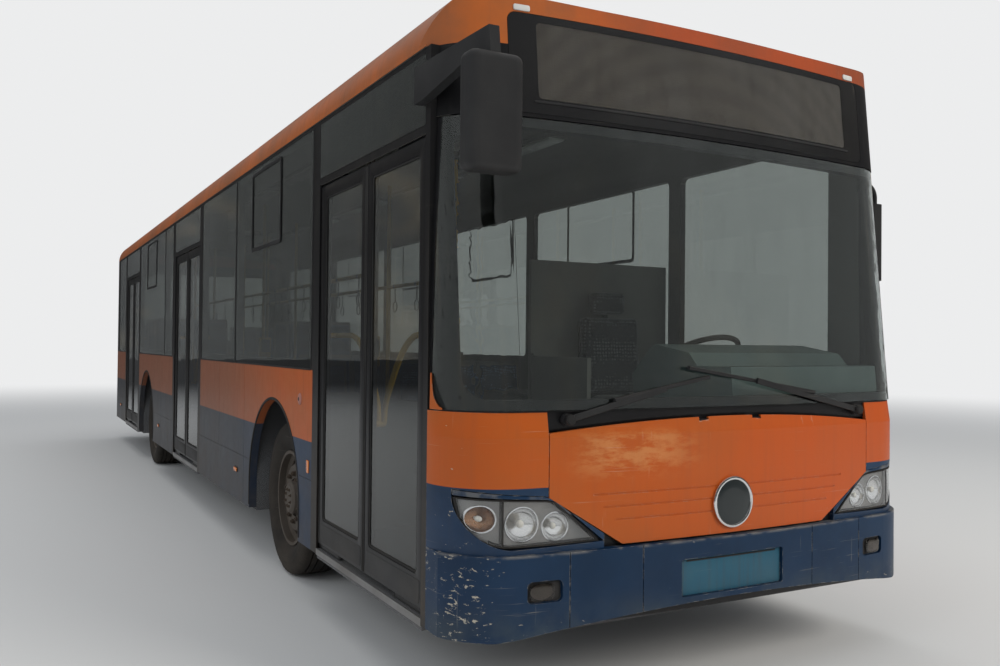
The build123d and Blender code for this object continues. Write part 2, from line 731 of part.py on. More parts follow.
def side_wall(outer_x, inner_x, panes, doorways, seams):
    """One side wall with arches, window openings, glass rebates, doorways and panel seams."""
    inward = 1 if inner_x > outer_x else -1
    with BuildPart() as wall:
        with BuildSketch(Plane.YZ.offset(outer_x)):
            with BuildLine():
                Polyline(
                    (at(SIDE_START + SEAT_GAP), SKIRT_Z),
                    (at(TAIL_START - SEAT_GAP), SKIRT_Z),
                    (at(TAIL_START - SEAT_GAP), CANT_Z - SEAT_GAP),
                    (at(SIDE_START + SEAT_GAP), CANT_Z - SEAT_GAP),
                    close=True,
                )
            make_face()
            with Locations((at(FRONT_AXLE), ARCH_Z), (at(REAR_AXLE), ARCH_Z)):
                Circle(ARCH_R, mode=Mode.SUBTRACT)
            with Locations((at(FRONT_AXLE), ARCH_Z - 300), (at(REAR_AXLE), ARCH_Z - 300)):
                Rectangle(2 * ARCH_R, 600, mode=Mode.SUBTRACT)
            for first, last in panes:
                with Locations((at((first + last) / 2), (BELT_Z + PANE_TOP) / 2)):
                    RectangleRounded(
                        last - first - 2 * PANE_FRAME, PANE_TOP - BELT_Z - 2 * PANE_FRAME, 40, mode=Mode.SUBTRACT
                    )
            for _, middle, width in doorways:
                with Locations((at(middle), (SKIRT_Z + LEAF_TOP) / 2)):
                    Rectangle(width, LEAF_TOP - SKIRT_Z + 2 * JAMB_LAP, mode=Mode.SUBTRACT)
        extrude(amount=inward * WALL)
        with BuildSketch(Plane.YZ.offset(outer_x)):
            for first, last in panes:
                with Locations((at((first + last) / 2), (BELT_Z + PANE_TOP) / 2)):
                    Rectangle(last - first, PANE_TOP - BELT_Z)
            for _, middle, width in doorways:
                with Locations((at(middle), (HEADER_Z + PANE_TOP) / 2)):
                    Rectangle(width, PANE_TOP - HEADER_Z - 2 * SKIN_T)
        extrude(amount=inward * (PANE_T + SEAT_GAP), mode=Mode.SUBTRACT)
        for _, middle, width in doorways:
            with BuildSketch(Plane.YZ.offset(outer_x + inward * SKIN_T)):
                with Locations((at(middle), (SKIRT_Z + HEADER_Z) / 2)):
                    Rectangle(width + 2 * (LEAF_TRAIL - JAMB_LAP) + 40, HEADER_Z - SKIRT_Z)
            extrude(amount=inward * WALL, mode=Mode.SUBTRACT)
            with BuildSketch(Plane.YZ.offset(HINGE_X - ROLLER_R - 2)):
                with Locations((at(middle), HEADER_Z + TRACK_H / 2)):
                    Rectangle(width, TRACK_H)
            extrude(amount=2 * ROLLER_R + 4, mode=Mode.SUBTRACT)
        with BuildSketch(Plane.YZ.offset(outer_x)):
            for first, last, low, high in seams:
                with Locations((at((first + last) / 2), (low + high) / 2)):
                    Rectangle(last - first, high - low)
        extrude(amount=inward * SIDE_SEAM_T, mode=Mode.SUBTRACT)
    return wall


save(
    side_wall(-HALF_WIDTH, -HALF_WIDTH + WALL, DOOR_SIDE_PANES, DOORWAYS, DOOR_SIDE_SEAMS),
    "side_wall_door",
)
save(
    side_wall(HALF_WIDTH, HALF_WIDTH - WALL, ROAD_SIDE_PANES, [], ROAD_SIDE_SEAMS),
    "side_wall_road",
)

# Bonded glass on both sides and at the rear, with dark panels over the doors
with BuildPart() as window_glass:
    for outer_x, inward, panes in ((-HALF_WIDTH, 1, DOOR_SIDE_PANES), (HALF_WIDTH, -1, ROAD_SIDE_PANES)):
        with BuildSketch(Plane.YZ.offset(outer_x)):
            for first, last in panes:
                with Locations((at((first + last) / 2), (BELT_Z + PANE_TOP) / 2)):
                    Rectangle(last - first - 4, PANE_TOP - BELT_Z - 4)
        extrude(amount=inward * PANE_T)
    with BuildSketch(Plane.YZ.offset(-HALF_WIDTH)):
        for _, middle, width in DOORWAYS:
            with Locations((at(middle), (HEADER_Z + PANE_TOP) / 2)):
                Rectangle(width - 4, PANE_TOP - HEADER_Z - 2 * SKIN_T - 4)
    extrude(amount=PANE_T)
    with BuildSketch(Plane.XZ.offset(-at(BUS_LENGTH))):
        with Locations((0, (REAR_PANE_Z + REAR_PANE_TOP_Z) / 2)):
            RectangleRounded(2 * REAR_PANE_X - 4, REAR_PANE_TOP_Z - REAR_PANE_Z - 4, 88)
    extrude(amount=PANE_T)
save(window_glass, "window_glass")


def tail_blank(inset, low):
    """Solid under the skin of the rear end, moved inward by an inset."""
    with BuildPart() as blank:
        with BuildSketch(Plane.XZ.offset(-at(BUS_LENGTH - inset))):
            add(section(inset, low))
        extrude(amount=BUS_LENGTH - inset - TAIL_START)
        rim = blank.faces().sort_by(Axis.Y)[-1].edges().filter_by(lambda edge: edge.center().Z > low + 1)
        fillet(rim, REAR_CORNER_R - inset)
    return blank.part


# Rear body with the window, the engine opening and lamp columns
with BuildPart() as rear_body:
    add(tail_blank(0, SKIRT_Z))
    add(tail_blank(WALL, SKIRT_Z - 10), mode=Mode.SUBTRACT)
    with BuildSketch(Plane.XZ.offset(-at(BUS_LENGTH + 10))):
        with Locations((0, (REAR_PANE_Z + REAR_PANE_TOP_Z) / 2)):
            RectangleRounded(
                2 * REAR_PANE_X - 2 * PANE_FRAME, REAR_PANE_TOP_Z - REAR_PANE_Z - 2 * PANE_FRAME, 60
            )
        with Locations((0, (LID_Z + LID_TOP_Z) / 2)):
            Rectangle(2 * LID_X, LID_TOP_Z - LID_Z)
    extrude(amount=WALL + 20, mode=Mode.SUBTRACT)
    with BuildSketch(Plane.XZ.offset(-at(BUS_LENGTH + 10))):
        with Locations((0, (REAR_PANE_Z + REAR_PANE_TOP_Z) / 2)):
            RectangleRounded(2 * REAR_PANE_X, REAR_PANE_TOP_Z - REAR_PANE_Z, 90)
        with Locations(
            *[
                (side * (LAMP_COLUMN_X + LAMP_COLUMN_W / 2), (LID_Z + LID_TOP_Z) / 2)
                for side in (-1, 1)
            ]
        ):
            RectangleRounded(LAMP_COLUMN_W, LID_TOP_Z - LID_Z, 30)
    extrude(amount=10 + PANE_T + SEAT_GAP, mode=Mode.SUBTRACT)
    with BuildSketch(Plane.XZ.offset(-at(BUS_LENGTH + 10))):
        with Locations((0, (SKIRT_Z + REAR_BUMPER_TOP_Z) / 2)):
            Rectangle(2 * HALF_WIDTH, REAR_BUMPER_TOP_Z - SKIRT_Z)
    extrude(amount=10 + REAR_BUMPER_T, mode=Mode.SUBTRACT)
    for side in (-1, 1):
        with BuildSketch(Plane.YZ.offset(side * (LID_X + LID_PIN_REACH))):
            with Locations((LID_PIN_Y, LID_PIN_Z)):
                Circle(LID_PIN_R)
        extrude(amount=-side * 2 * LID_PIN_REACH)
save(rear_body, "rear_body")

with BuildPart() as rear_bumper:
    with BuildSketch(Plane.XY.offset(SKIRT_Z)):
        with Locations((0, at(BUS_LENGTH - 700))):
            RectangleRounded(2 * HALF_WIDTH, 1400, REAR_CORNER_R)
        with Locations((0, at(BUS_LENGTH - REAR_BUMPER_T - 700 + SEAT_GAP))):
            Rectangle(2 * HALF_WIDTH, 1400, mode=Mode.SUBTRACT)
    extrude(amount=REAR_BUMPER_TOP_Z - SKIRT_Z - SEAT_GAP)
save(rear_bumper, "rear_bumper")

# Engine lid, hinged along its upper edge
with BuildPart() as engine_lid:
    with BuildSketch(Plane.XZ.offset(-at(BUS_LENGTH))):
        with Locations((0, (LID_Z + LID_TOP_Z) / 2)):
            Rectangle(2 * (LID_X - MOVE_GAP), LID_TOP_Z - LID_Z - 2 * LID_GAP)
    extrude(amount=LID_SHEET)
    for side in (-1, 1):
        with BuildSketch(Plane.YZ.offset(side * LID_X)):
            with Locations((LID_PIN_Y, LID_PIN_Z)):
                Circle(LID_PIN_R + PIN_FIT)
        extrude(amount=-side * (LID_PIN_REACH + 1), mode=Mode.SUBTRACT)
    with BuildSketch(Plane.XZ.offset(-at(BUS_LENGTH + 1))):
        with Locations((0, (LID_Z + LID_TOP_Z) / 2 - 60)):
            with GridLocations(0, 46, 1, 9):
                SlotOverall(1200, 20)
    extrude(amount=LID_SHEET + 2, mode=Mode.SUBTRACT)
save(engine_lid, "engine_lid")

# Floor deck, cut out at the wheel boxes, with tongues in the doorways
with BuildPart() as floor_deck:
    with BuildSketch(Plane.XY.offset(FLOOR_Z - FLOOR_T)):
        with Locations((0, at((COVER_START - SEAT_GAP + SIDE_START) / 2))):
            Rectangle(2 * (HALF_WIDTH - WALL - SEAT_GAP), COVER_START - SEAT_GAP - SIDE_START)
        with Locations((0, at(SIDE_START / 2 + 80))):
            Rectangle(2 * (HALF_WIDTH - 260), SIDE_START - 160)
        for _, middle, width in DOORWAYS:
            with Locations((-HALF_WIDTH + 100, at(middle))):
                Rectangle(188, width - 2 * SEAT_GAP)
        for axle, box_x in ((FRONT_AXLE, FRONT_BOX_X), (REAR_AXLE, REAR_BOX_X)):
            for side in (-1, 1):
                with Locations((side * (box_x - BOX_SHEET + 500), at(axle))):
                    Rectangle(1000, 2 * (ARCH_R + BOX_SHEET + SEAT_GAP), mode=Mode.SUBTRACT)
    extrude(amount=FLOOR_T)
save(floor_deck, "floor_deck")

# Wheel boxes over the four wheel positions, open below and to the outside
with BuildPart() as wheel_boxes:
    for axle, box_x in ((FRONT_AXLE, FRONT_BOX_X), (REAR_AXLE, REAR_BOX_X)):
        for side in (-1, 1):
            outer = HALF_WIDTH - WALL - SEAT_GAP
            with BuildSketch(Plane.XY.offset(FLOOR_Z - FLOOR_T)):
                with Locations((side * (box_x - BOX_SHEET + SEAT_GAP + outer) / 2, at(axle))):
                    Rectangle(outer - box_x + BOX_SHEET - SEAT_GAP, 2 * (ARCH_R + BOX_SHEET))
            extrude(amount=BOX_TOP_Z - FLOOR_Z + FLOOR_T)
            with BuildSketch(Plane.XY.offset(FLOOR_Z - FLOOR_T - 5)):
                with Locations((side * (box_x + 500), at(axle))):
                    Rectangle(1000, 2 * ARCH_R)
            extrude(amount=BOX_TOP_Z - BOX_SHEET - FLOOR_Z + FLOOR_T + 5, mode=Mode.SUBTRACT)
save(wheel_boxes, "wheel_boxes")

# Engine cover under the rear bench, and the engine as one block
with BuildPart() as engine_cover:
    with BuildSketch(Plane.XY.offset(FLOOR_Z - FLOOR_T)):
        with Locations((0, at((COVER_START + COVER_END) / 2))):
            Rectangle(2 * (HALF_WIDTH - WALL - SEAT_GAP), COVER_END - COVER_START)
    extrude(amount=BENCH_Z - FLOOR_Z + FLOOR_T)
    with BuildSketch(Plane.XY.offset(FLOOR_Z - FLOOR_T - 5)):
        with Locations((0, at(COVER_START + COVER_T + 1000))):
            Rectangle(2 * (HALF_WIDTH - WALL - COVER_T - SEAT_GAP), 2000)
    extrude(amount=BENCH_Z - COVER_T - FLOOR_Z + FLOOR_T + 5, mode=Mode.SUBTRACT)
save(engine_cover, "engine_cover")

with BuildPart() as engine:
    with BuildSketch(Plane.XY.offset(ENGINE_Z)):
        with Locations((ENGINE_X, at(ENGINE_S))):
            Rectangle(ENGINE_W, ENGINE_L)
    extrude(amount=BENCH_Z - COVER_T - ENGINE_Z - SEAT_GAP)
    chamfer(engine.edges().filter_by(Axis.Z), 60)
save(engine, "engine_block")

# Underframe beams between the axles
with BuildPart() as underframe:
    with BuildSketch(Plane.XY.offset(FLOOR_Z - FLOOR_T - SEAT_GAP)):
        for first, last in (
            (SIDE_START + 60, FRONT_AXLE - BEAM_GAP),
            (FRONT_AXLE + BEAM_GAP, REAR_AXLE - BEAM_GAP),
            (REAR_AXLE + BEAM_GAP, COVER_START - 30),
        ):
            with Locations((BEAM_X, at((first + last) / 2)), (-BEAM_X, at((first + last) / 2))):
                Rectangle(BEAM_W, last - first)
        for station in CROSS_STATIONS:
            with Locations((0, at(station))):
                Rectangle(2 * BEAM_X, BEAM_W - 10)
    extrude(amount=-BEAM_H)
save(underframe, "underframe")


# Axles: a low beam below the gangway, raised behind the wheels to the kingpins or the spindles
with BuildPart() as axles:
    for station, knee_x, end_x in ((FRONT_AXLE, 545, KINGPIN_X - 230), (REAR_AXLE, 572, KINGPIN_X - 230)):
        with BuildSketch(Plane.XZ.offset(-at(station + AXLE_W / 2))):
            with BuildLine():
                Polyline(
                    (0, AXLE_Z - AXLE_H / 2),
                    (knee_x + 20, AXLE_Z - AXLE_H / 2),
                    (knee_x + 70, WHEEL_R - PORTAL_R),
                    (end_x, WHEEL_R - PORTAL_R),
                    (end_x, WHEEL_R + PORTAL_R),
                    (knee_x + 50, WHEEL_R + PORTAL_R),
                    (knee_x, AXLE_Z + AXLE_H / 2),
                    (0, AXLE_Z + AXLE_H / 2),
                    close=True,
                )
            make_face()
            mirror(about=Plane.YZ)
        extrude(amount=AXLE_W)
    for side in (-1, 1):
        with BuildSketch(Plane.XY.offset(WHEEL_R - BOSS_H / 2)):
            with Locations((side * (KINGPIN_X - 140), at(FRONT_AXLE))):
                Rectangle(280, 2 * BOSS_R - 10)
            with Locations((side * KINGPIN_X, at(FRONT_AXLE))):
                Circle(BOSS_R)
        extrude(amount=BOSS_H)
        with BuildSketch(Plane.XY.offset(WHEEL_R - BOSS_H)):
            with Locations((side * KINGPIN_X, at(FRONT_AXLE))):
                Circle(KINGPIN_R + PIN_FIT)
        extrude(amount=2 * BOSS_H, mode=Mode.SUBTRACT)
        with BuildSketch(Plane.YZ.offset(side * (KINGPIN_X - 260))):
            with Locations((at(REAR_AXLE), WHEEL_R)):
                Circle(SPINDLE_R)
        extrude(amount=side * (TWIN_OUTER_X + HUB_NOSE - 22 - KINGPIN_X + 260))
    with BuildSketch(Plane.XY.offset(AXLE_Z - AXLE_H / 2)):
        with Locations((300, at(REAR_AXLE))):
            Circle(190)
    extrude(amount=AXLE_H + 30)
    with BuildSketch(Plane.XY.offset(AXLE_Z - ROD_W / 2)):
        for station in (FRONT_AXLE, REAR_AXLE):
            for side in (-1, 1):
                with Locations((side * BEAM_X, at(station))):
                    Rectangle(ROD_W, 2 * (BEAM_GAP - SEAT_GAP))
    extrude(amount=ROD_W)
    with BuildSketch(Plane.XY.offset(AXLE_Z - AXLE_H / 2 - PAD_T)):
        for station in (FRONT_AXLE, REAR_AXLE):
            with Locations((PAD_X, at(station)), (-PAD_X, at(station))):
                Circle(PAD_R)
    extrude(amount=PAD_T + 10)
save(axles, "axles")

# Steering knuckles: yoke, kingpin and stub axle
YOKE_X = BOSS_R + MOVE_GAP
STUB_END = FRONT_WHEEL_X + 55
for tag, side in (("door", -1), ("road", 1)):
    with BuildPart() as knuckle:
        for low in (WHEEL_R - BOSS_H / 2 - MOVE_GAP - YOKE_T, WHEEL_R + BOSS_H / 2 + MOVE_GAP):
            with BuildSketch(Plane.XY.offset(low)):
                with Locations((side * (KINGPIN_X + YOKE_X / 2), at(FRONT_AXLE))):
                    Rectangle(YOKE_X, 2 * BOSS_R)
                with Locations((side * KINGPIN_X, at(FRONT_AXLE))):
                    Circle(BOSS_R)
            extrude(amount=YOKE_T)
        with BuildSketch(Plane.XY.offset(WHEEL_R - BOSS_H / 2 - MOVE_GAP - YOKE_T)):
            with Locations((side * (KINGPIN_X + YOKE_X + 10), at(FRONT_AXLE))):
                Rectangle(20, 2 * BOSS_R)
        extrude(amount=BOSS_H + 2 * MOVE_GAP + 2 * YOKE_T)
        with BuildSketch(Plane.XY.offset(WHEEL_R - BOSS_H / 2 - MOVE_GAP - YOKE_T)):
            with Locations((side * KINGPIN_X, at(FRONT_AXLE))):
                Circle(KINGPIN_R)
        extrude(amount=BOSS_H + 2 * MOVE_GAP + 2 * YOKE_T)
        with BuildSketch(Plane.YZ.offset(side * (KINGPIN_X + YOKE_X + 10))):
            with Locations((at(FRONT_AXLE), WHEEL_R)):
                Circle(STUB_R)
        extrude(amount=side * (STUB_END - KINGPIN_X - YOKE_X - 10))
    save(knuckle, f"knuckle_{tag}")


def wheel_plane(centre_x, station, side):
    """Plane through a wheel's axis: local x runs outboard, local y up."""
    return Plane(origin=(centre_x, at(station), WHEEL_R), x_dir=(side, 0, 0), z_dir=(0, -side, 0))


def tyre(plane):
    """Solid of one tyre in flats round its axis, one flat on the road."""
    step = 2 * pi / TYRE_SIDES
    outline = [(-x, radius) for x, radius in TYRE_OUTLINE] + TYRE_OUTLINE[::-1]
    rings = [
        [
            plane.from_local_coords(
                (x, radius / cos(step / 2) * cos((side + 0.5) * step), radius / cos(step / 2) * sin((side + 0.5) * step))
            )
            for side in range(TYRE_SIDES)
        ]
        for x, radius in outline
    ]
    flats = [
        Face(Wire.make_polygon([ring[side - 1], ring[side], rings[index - 1][side], rings[index - 1][side - 1]]))
        for index, ring in enumerate(rings)
        for side in range(TYRE_SIDES)
    ]
    return Solid(Shell(flats))


def rim_profile(dish, plate):
    """Closed profile of a wheel disc with its barrel; dish is where the disc meets the barrel."""
    half = RIM_W / 2
    flange = RIM_R + FLANGE_H
    well = RIM_R - 26
    with BuildSketch() as face:
        with BuildLine():
            Polyline(
                (-half, flange),
                (-half + RIM_SHEET, flange),
                (-half + RIM_SHEET, RIM_R),
                (-half + 46, RIM_R),
                (-half + 62, well),
                (half - 62, well),
                (half - 46, RIM_R),
                (half - RIM_SHEET, RIM_R),
                (half - RIM_SHEET, flange),
                (half, flange),
                (half, RIM_R - RIM_SHEET),
                (half - 42, RIM_R - RIM_SHEET),
                (half - 58, well - RIM_SHEET),
                (-half + 58, well - RIM_SHEET),
                (-half + 42, RIM_R - RIM_SHEET),
                (-half, RIM_R - RIM_SHEET),
                close=True,
            )
        make_face()
        with BuildLine():
            Polyline(
                (dish, well - 4),
                (dish + 14, well - 4),
                (plate + 14, 205),
                (plate + 14, HUB_R - 8),
                (plate, HUB_R - 8),
                (plate, 200),
                close=True,
            )
        make_face()
    return face.sketch


WINDOWS = 10
HOLE_R = 21
for tag, side in (("door", -1), ("road", 1)):
    # Front wheel: disc bowed outward, hub with brake disc behind
    front_plane = wheel_plane(side * FRONT_WHEEL_X, FRONT_AXLE, side)
    with BuildPart() as front_tyre:
        add(tyre(front_plane))
    save(front_tyre, f"tyre_front_{tag}")
    with BuildPart() as front_rim:
        with BuildSketch(front_plane):
            add(rim_profile(0, 62))
            with BuildLine():
                Polyline(
                    (-42, 205),
                    (-14, 205),
                    (-14, HUB_R),
                    (62, HUB_R + 50),
                    (62, HUB_R - 20),
                    (104, HUB_R - 28),
                    (118, HUB_R - 46),
                    (118, 0),
                    (60, 0),
                    (60, STUB_R + PIN_FIT),
                    (-42, STUB_R + PIN_FIT),
                    close=True,
                )
            make_face()
        revolve(axis=Axis(front_plane.origin, front_plane.x_dir))
        with BuildSketch(Plane.YZ.offset(side * (FRONT_WHEEL_X + 10))):
            with Locations((at(FRONT_AXLE), WHEEL_R)):
                with PolarLocations(222, WINDOWS):
                    Circle(HOLE_R)
        extrude(amount=side * 80, mode=Mode.SUBTRACT)
    save(front_rim, f"rim_front_{tag}")

    # Rear twin wheels on one hub, their discs back to back
    outer_plane = wheel_plane(side * TWIN_OUTER_X, REAR_AXLE, side)
    inner_plane = wheel_plane(side * (TWIN_OUTER_X - TWIN_PITCH), REAR_AXLE, side)
    with BuildPart() as rear_tyres:
        add(tyre(outer_plane))
        add(tyre(inner_plane))
    save(rear_tyres, f"tyres_rear_{tag}")
    with BuildPart() as rear_rims:
        with BuildSketch(outer_plane):
            add(rim_profile(-30, -TWIN_PITCH / 2))
            with BuildLine():
                Polyline(
                    (-TWIN_PITCH / 2 - 20, HUB_R + 40),
                    (-TWIN_PITCH / 2 + 16, HUB_R + 40),
                    (-TWIN_PITCH / 2 + 16, HUB_R - 10),
                    (HUB_NOSE - 14, HUB_R - 18),
                    (HUB_NOSE, HUB_R - 34),
                    (HUB_NOSE, 0),
                    (HUB_NOSE - 18, 0),
                    (HUB_NOSE - 18, SPINDLE_R + PIN_FIT),
                    (-TWIN_PITCH / 2 - 90, SPINDLE_R + PIN_FIT),
                    (-TWIN_PITCH / 2 - 90, HUB_R - 10),
                    (-TWIN_PITCH / 2 - 20, HUB_R - 10),
                    close=True,
                )
            make_face()
        revolve(axis=Axis(outer_plane.origin, outer_plane.x_dir))
        with BuildSketch(inner_plane):
            add(rim_profile(16, TWIN_PITCH / 2 - 14))
        revolve(axis=Axis(inner_plane.origin, inner_plane.x_dir))
        with BuildSketch(Plane.YZ.offset(side * (TWIN_OUTER_X - TWIN_PITCH + 20))):
            with Locations((at(REAR_AXLE), WHEEL_R)):
                with PolarLocations(224, WINDOWS):
                    Circle(HOLE_R)
        extrude(amount=side * (TWIN_PITCH - 20), mode=Mode.SUBTRACT)
    save(rear_rims, f"rims_rear_{tag}")

# Doors: each leaf hangs on two arms of a turning post, and its upper roller runs in the header
for name, middle, width in DOORWAYS:
    reach = width / 2 + LEAF_TRAIL - JAMB_LAP - MEET_GAP / 2 - LEAF_LEAD
    arm = reach / 2
    for tag, hand in (("a", 1), ("b", -1)):
        post_y = at(middle - hand * (width / 2 + LEAF_TRAIL - JAMB_LAP))
        knee_y = post_y + hand * arm
        roller_y = post_y + hand * reach
        tail_y = post_y + hand * LEAF_TRAIL
        lead_y = roller_y + hand * LEAF_LEAD
        leaf_mid = (tail_y + lead_y) / 2
        leaf_w = reach + LEAF_LEAD - LEAF_TRAIL
        low_arm = FLOOR_Z + 7
        top_arm = LEAF_TOP + MOVE_GAP
        with BuildPart() as arm_set:
            with BuildSketch(Plane.XY.offset(FLOOR_Z + SEAT_GAP)):
                with Locations((HINGE_X, post_y)):
                    Circle(PILLAR_R)
            extrude(amount=HEADER_Z - FLOOR_Z - 2 * SEAT_GAP)
            for low in (low_arm, top_arm):
                with BuildSketch(Plane.XY.offset(low)):
                    with Locations((HINGE_X, (post_y + knee_y) / 2)):
                        Rectangle(ARM_W, arm)
                    with Locations((HINGE_X, knee_y)):
                        Circle(PIN_R + BOSS_WALL)
                        Circle(PIN_R + PIN_FIT, mode=Mode.SUBTRACT)
                extrude(amount=ARM_T)
        save(arm_set, f"door_{name}_arm_{tag}")

        with BuildPart() as leaf:
            with BuildSketch(Plane.YZ.offset(HINGE_X - LEAF_T / 2)):
                with Locations((leaf_mid, (LEAF_Z + LEAF_TOP) / 2)):
                    Rectangle(leaf_w, LEAF_TOP - LEAF_Z)
                with Locations((leaf_mid, (LEAF_Z + KICK_RAIL + LEAF_TOP - LEAF_RAIL) / 2)):
                    RectangleRounded(
                        leaf_w - 2 * LEAF_RAIL,
                        LEAF_TOP - LEAF_Z - LEAF_RAIL - KICK_RAIL,
                        24,
                        mode=Mode.SUBTRACT,
                    )
            extrude(amount=LEAF_T)
            with BuildSketch(Plane.YZ.offset(HINGE_X - LEAF_T / 2 + 6)):
                with Locations((leaf_mid, (LEAF_Z + KICK_RAIL + LEAF_TOP - LEAF_RAIL) / 2)):
                    Rectangle(leaf_w - LEAF_RAIL, LEAF_TOP - LEAF_Z - LEAF_RAIL - KICK_RAIL + 20)
            extrude(amount=GLASS_T)
            for low, height in (
                (low_arm - 1, LEAF_Z - low_arm + 1),
                (LEAF_TOP, top_arm + ARM_T - LEAF_TOP + 4),
            ):
                with BuildSketch(Plane.XY.offset(low)):
                    with Locations((HINGE_X, knee_y)):
                        Circle(PIN_R)
                extrude(amount=height)
            with BuildSketch(Plane.XY.offset(LEAF_TOP)):
                with Locations((HINGE_X, roller_y)):
                    Circle(PIN_R)
            extrude(amount=HEADER_Z - LEAF_TOP + 4)
            with BuildSketch(Plane.XY.offset(HEADER_Z + 2)):
                with Locations((HINGE_X, roller_y)):
                    Circle(ROLLER_R)
            extrude(amount=TRACK_H - 6)
            face_x = HINGE_X + LEAF_T / 2 - 4
            with BuildLine() as grab_path:
                FilletPolyline(
                    (face_x, tail_y + hand * LEAF_RAIL / 2, GRAB_TOP_Z),
                    (face_x + GRAB_REACH, tail_y + hand * LEAF_RAIL / 2, GRAB_TOP_Z),
                    (face_x + GRAB_REACH, leaf_mid, GRAB_TOP_Z),
                    (face_x + GRAB_REACH, lead_y - hand * LEAF_RAIL / 2, GRAB_LOW_Z),
                    (face_x, lead_y - hand * LEAF_RAIL / 2, GRAB_LOW_Z),
                    radius=GRAB_BENDS,
                )
            with BuildSketch(Plane(grab_path.line @ 0, z_dir=grab_path.line % 0)):
                Circle(GRAB_R)
            sweep(path=grab_path.line)
        save(leaf, f"door_{name}_leaf_{tag}")

# Header boxes over the doors inside, and sill strips below the leaves
with BuildPart() as door_headers:
    for _, middle, width in DOORWAYS:
        with BuildSketch(Plane.XY.offset(HEADER_Z)):
            with Locations((-HALF_WIDTH + WALL + SEAT_GAP + HEADER_D / 2, at(middle))):
                Rectangle(HEADER_D, width + 80)
        extrude(amount=HEADER_TOP_Z - HEADER_Z)
save(door_headers, "door_headers")

with BuildPart() as door_sills:
    for _, middle, width in DOORWAYS:
        with BuildSketch(Plane.XY.offset(FLOOR_Z - SILL_H)):
            with Locations((-HALF_WIDTH + 2.85, at(middle))):
                Rectangle(5.7, width - 2 * SEAT_GAP)
        extrude(amount=SILL_H)
save(door_sills, "door_sills")

# Cab floor, dashboard, partition and cab door
with BuildPart() as cab_floor:
    with BuildSketch(Plane.XY.offset(FLOOR_Z + SEAT_GAP)):
        with Locations(((CAB_X + HALF_WIDTH - WALL - 2) / 2, at((SIDE_START + 40 + CAB_END) / 2))):
            Rectangle(HALF_WIDTH - WALL - 2 - CAB_X, CAB_END - SIDE_START - 40)
    extrude(amount=CAB_FLOOR_Z - FLOOR_Z - SEAT_GAP)
save(cab_floor, "cab_floor")

wheel_axis = Plane(
    origin=(WHEEL_X, at(WHEEL_S), WHEEL_Z),
    x_dir=(1, 0, 0),
    z_dir=(0, sin(radians(COLUMN_TILT)), cos(radians(COLUMN_TILT))),
)
with BuildPart() as dash_shelf:
    with BuildSketch(Plane.XY.offset(RAKE_FOOT_Z)):
        add(front_plan(PANEL_T + FRAME_T + SEAT_GAP))
    extrude(amount=(DASH_Z - 60 - RAKE_FOOT_Z) * sqrt(1 + RAKE**2), dir=(0, RAKE, 1))
    with BuildSketch(Plane.XY.offset(RAKE_FOOT_Z)):
        with Locations(((CAB_X - 120 + HALF_WIDTH) / 2, at(DASH_START / 2 + 20))):
            Rectangle(HALF_WIDTH - CAB_X + 120, DASH_START + 40)
    extrude(amount=DASH_Z - RAKE_FOOT_Z, mode=Mode.INTERSECT)
with BuildPart() as dashboard:
    with BuildSketch(Plane.YZ.offset(CAB_X - 120)):
        with BuildLine():
            Polyline(
                (at(DASH_START), CAB_FLOOR_Z + 430),
                (at(DASH_START), DASH_Z - 60),
                (at(DASH_START + 60), DASH_Z),
                (at(DASH_END - 190), DASH_Z + 40),
                (at(DASH_END - 150), DASH_Z + 20),
                (at(DASH_END), DASH_Z - 120),
                (at(DASH_END - 30), DASH_Z - 220),
                (at(DASH_END - 250), CAB_FLOOR_Z + 430),
                close=True,
            )
        make_face()
    extrude(amount=1000)
    with BuildSketch(Plane.XY.offset(CAB_FLOOR_Z + SEAT_GAP)):
        with Locations((WHEEL_X, at(DASH_START + 230))):
            Rectangle(500, 180)
    extrude(amount=450)
    with BuildSketch(wheel_axis.offset(-COLUMN_DROP - SEAT_GAP)):
        Circle(38)
    extrude(amount=-640)
    add(dash_shelf.part)
save(dashboard, "dashboard")

with BuildPart() as steering_wheel:
    with BuildSketch(Plane(origin=wheel_axis.origin, x_dir=(1, 0, 0), z_dir=wheel_axis.y_dir * -1)):
        with Locations((WHEEL_RING_R, 0)):
            Circle(WHEEL_TUBE_R)
    revolve(axis=Axis(wheel_axis.origin, wheel_axis.z_dir))
    with BuildSketch(wheel_axis.offset(-12)):
        Circle(55)
        for turn in (90, 210, 330):
            with Locations(Location((0, 0), turn)):
                with Locations((WHEEL_RING_R / 2, 0)):
                    Rectangle(WHEEL_RING_R, 34)
    extrude(amount=18)
    with BuildSketch(wheel_axis.offset(-12)):
        Circle(24)
    extrude(amount=12 - COLUMN_DROP)
save(steering_wheel, "steering_wheel")

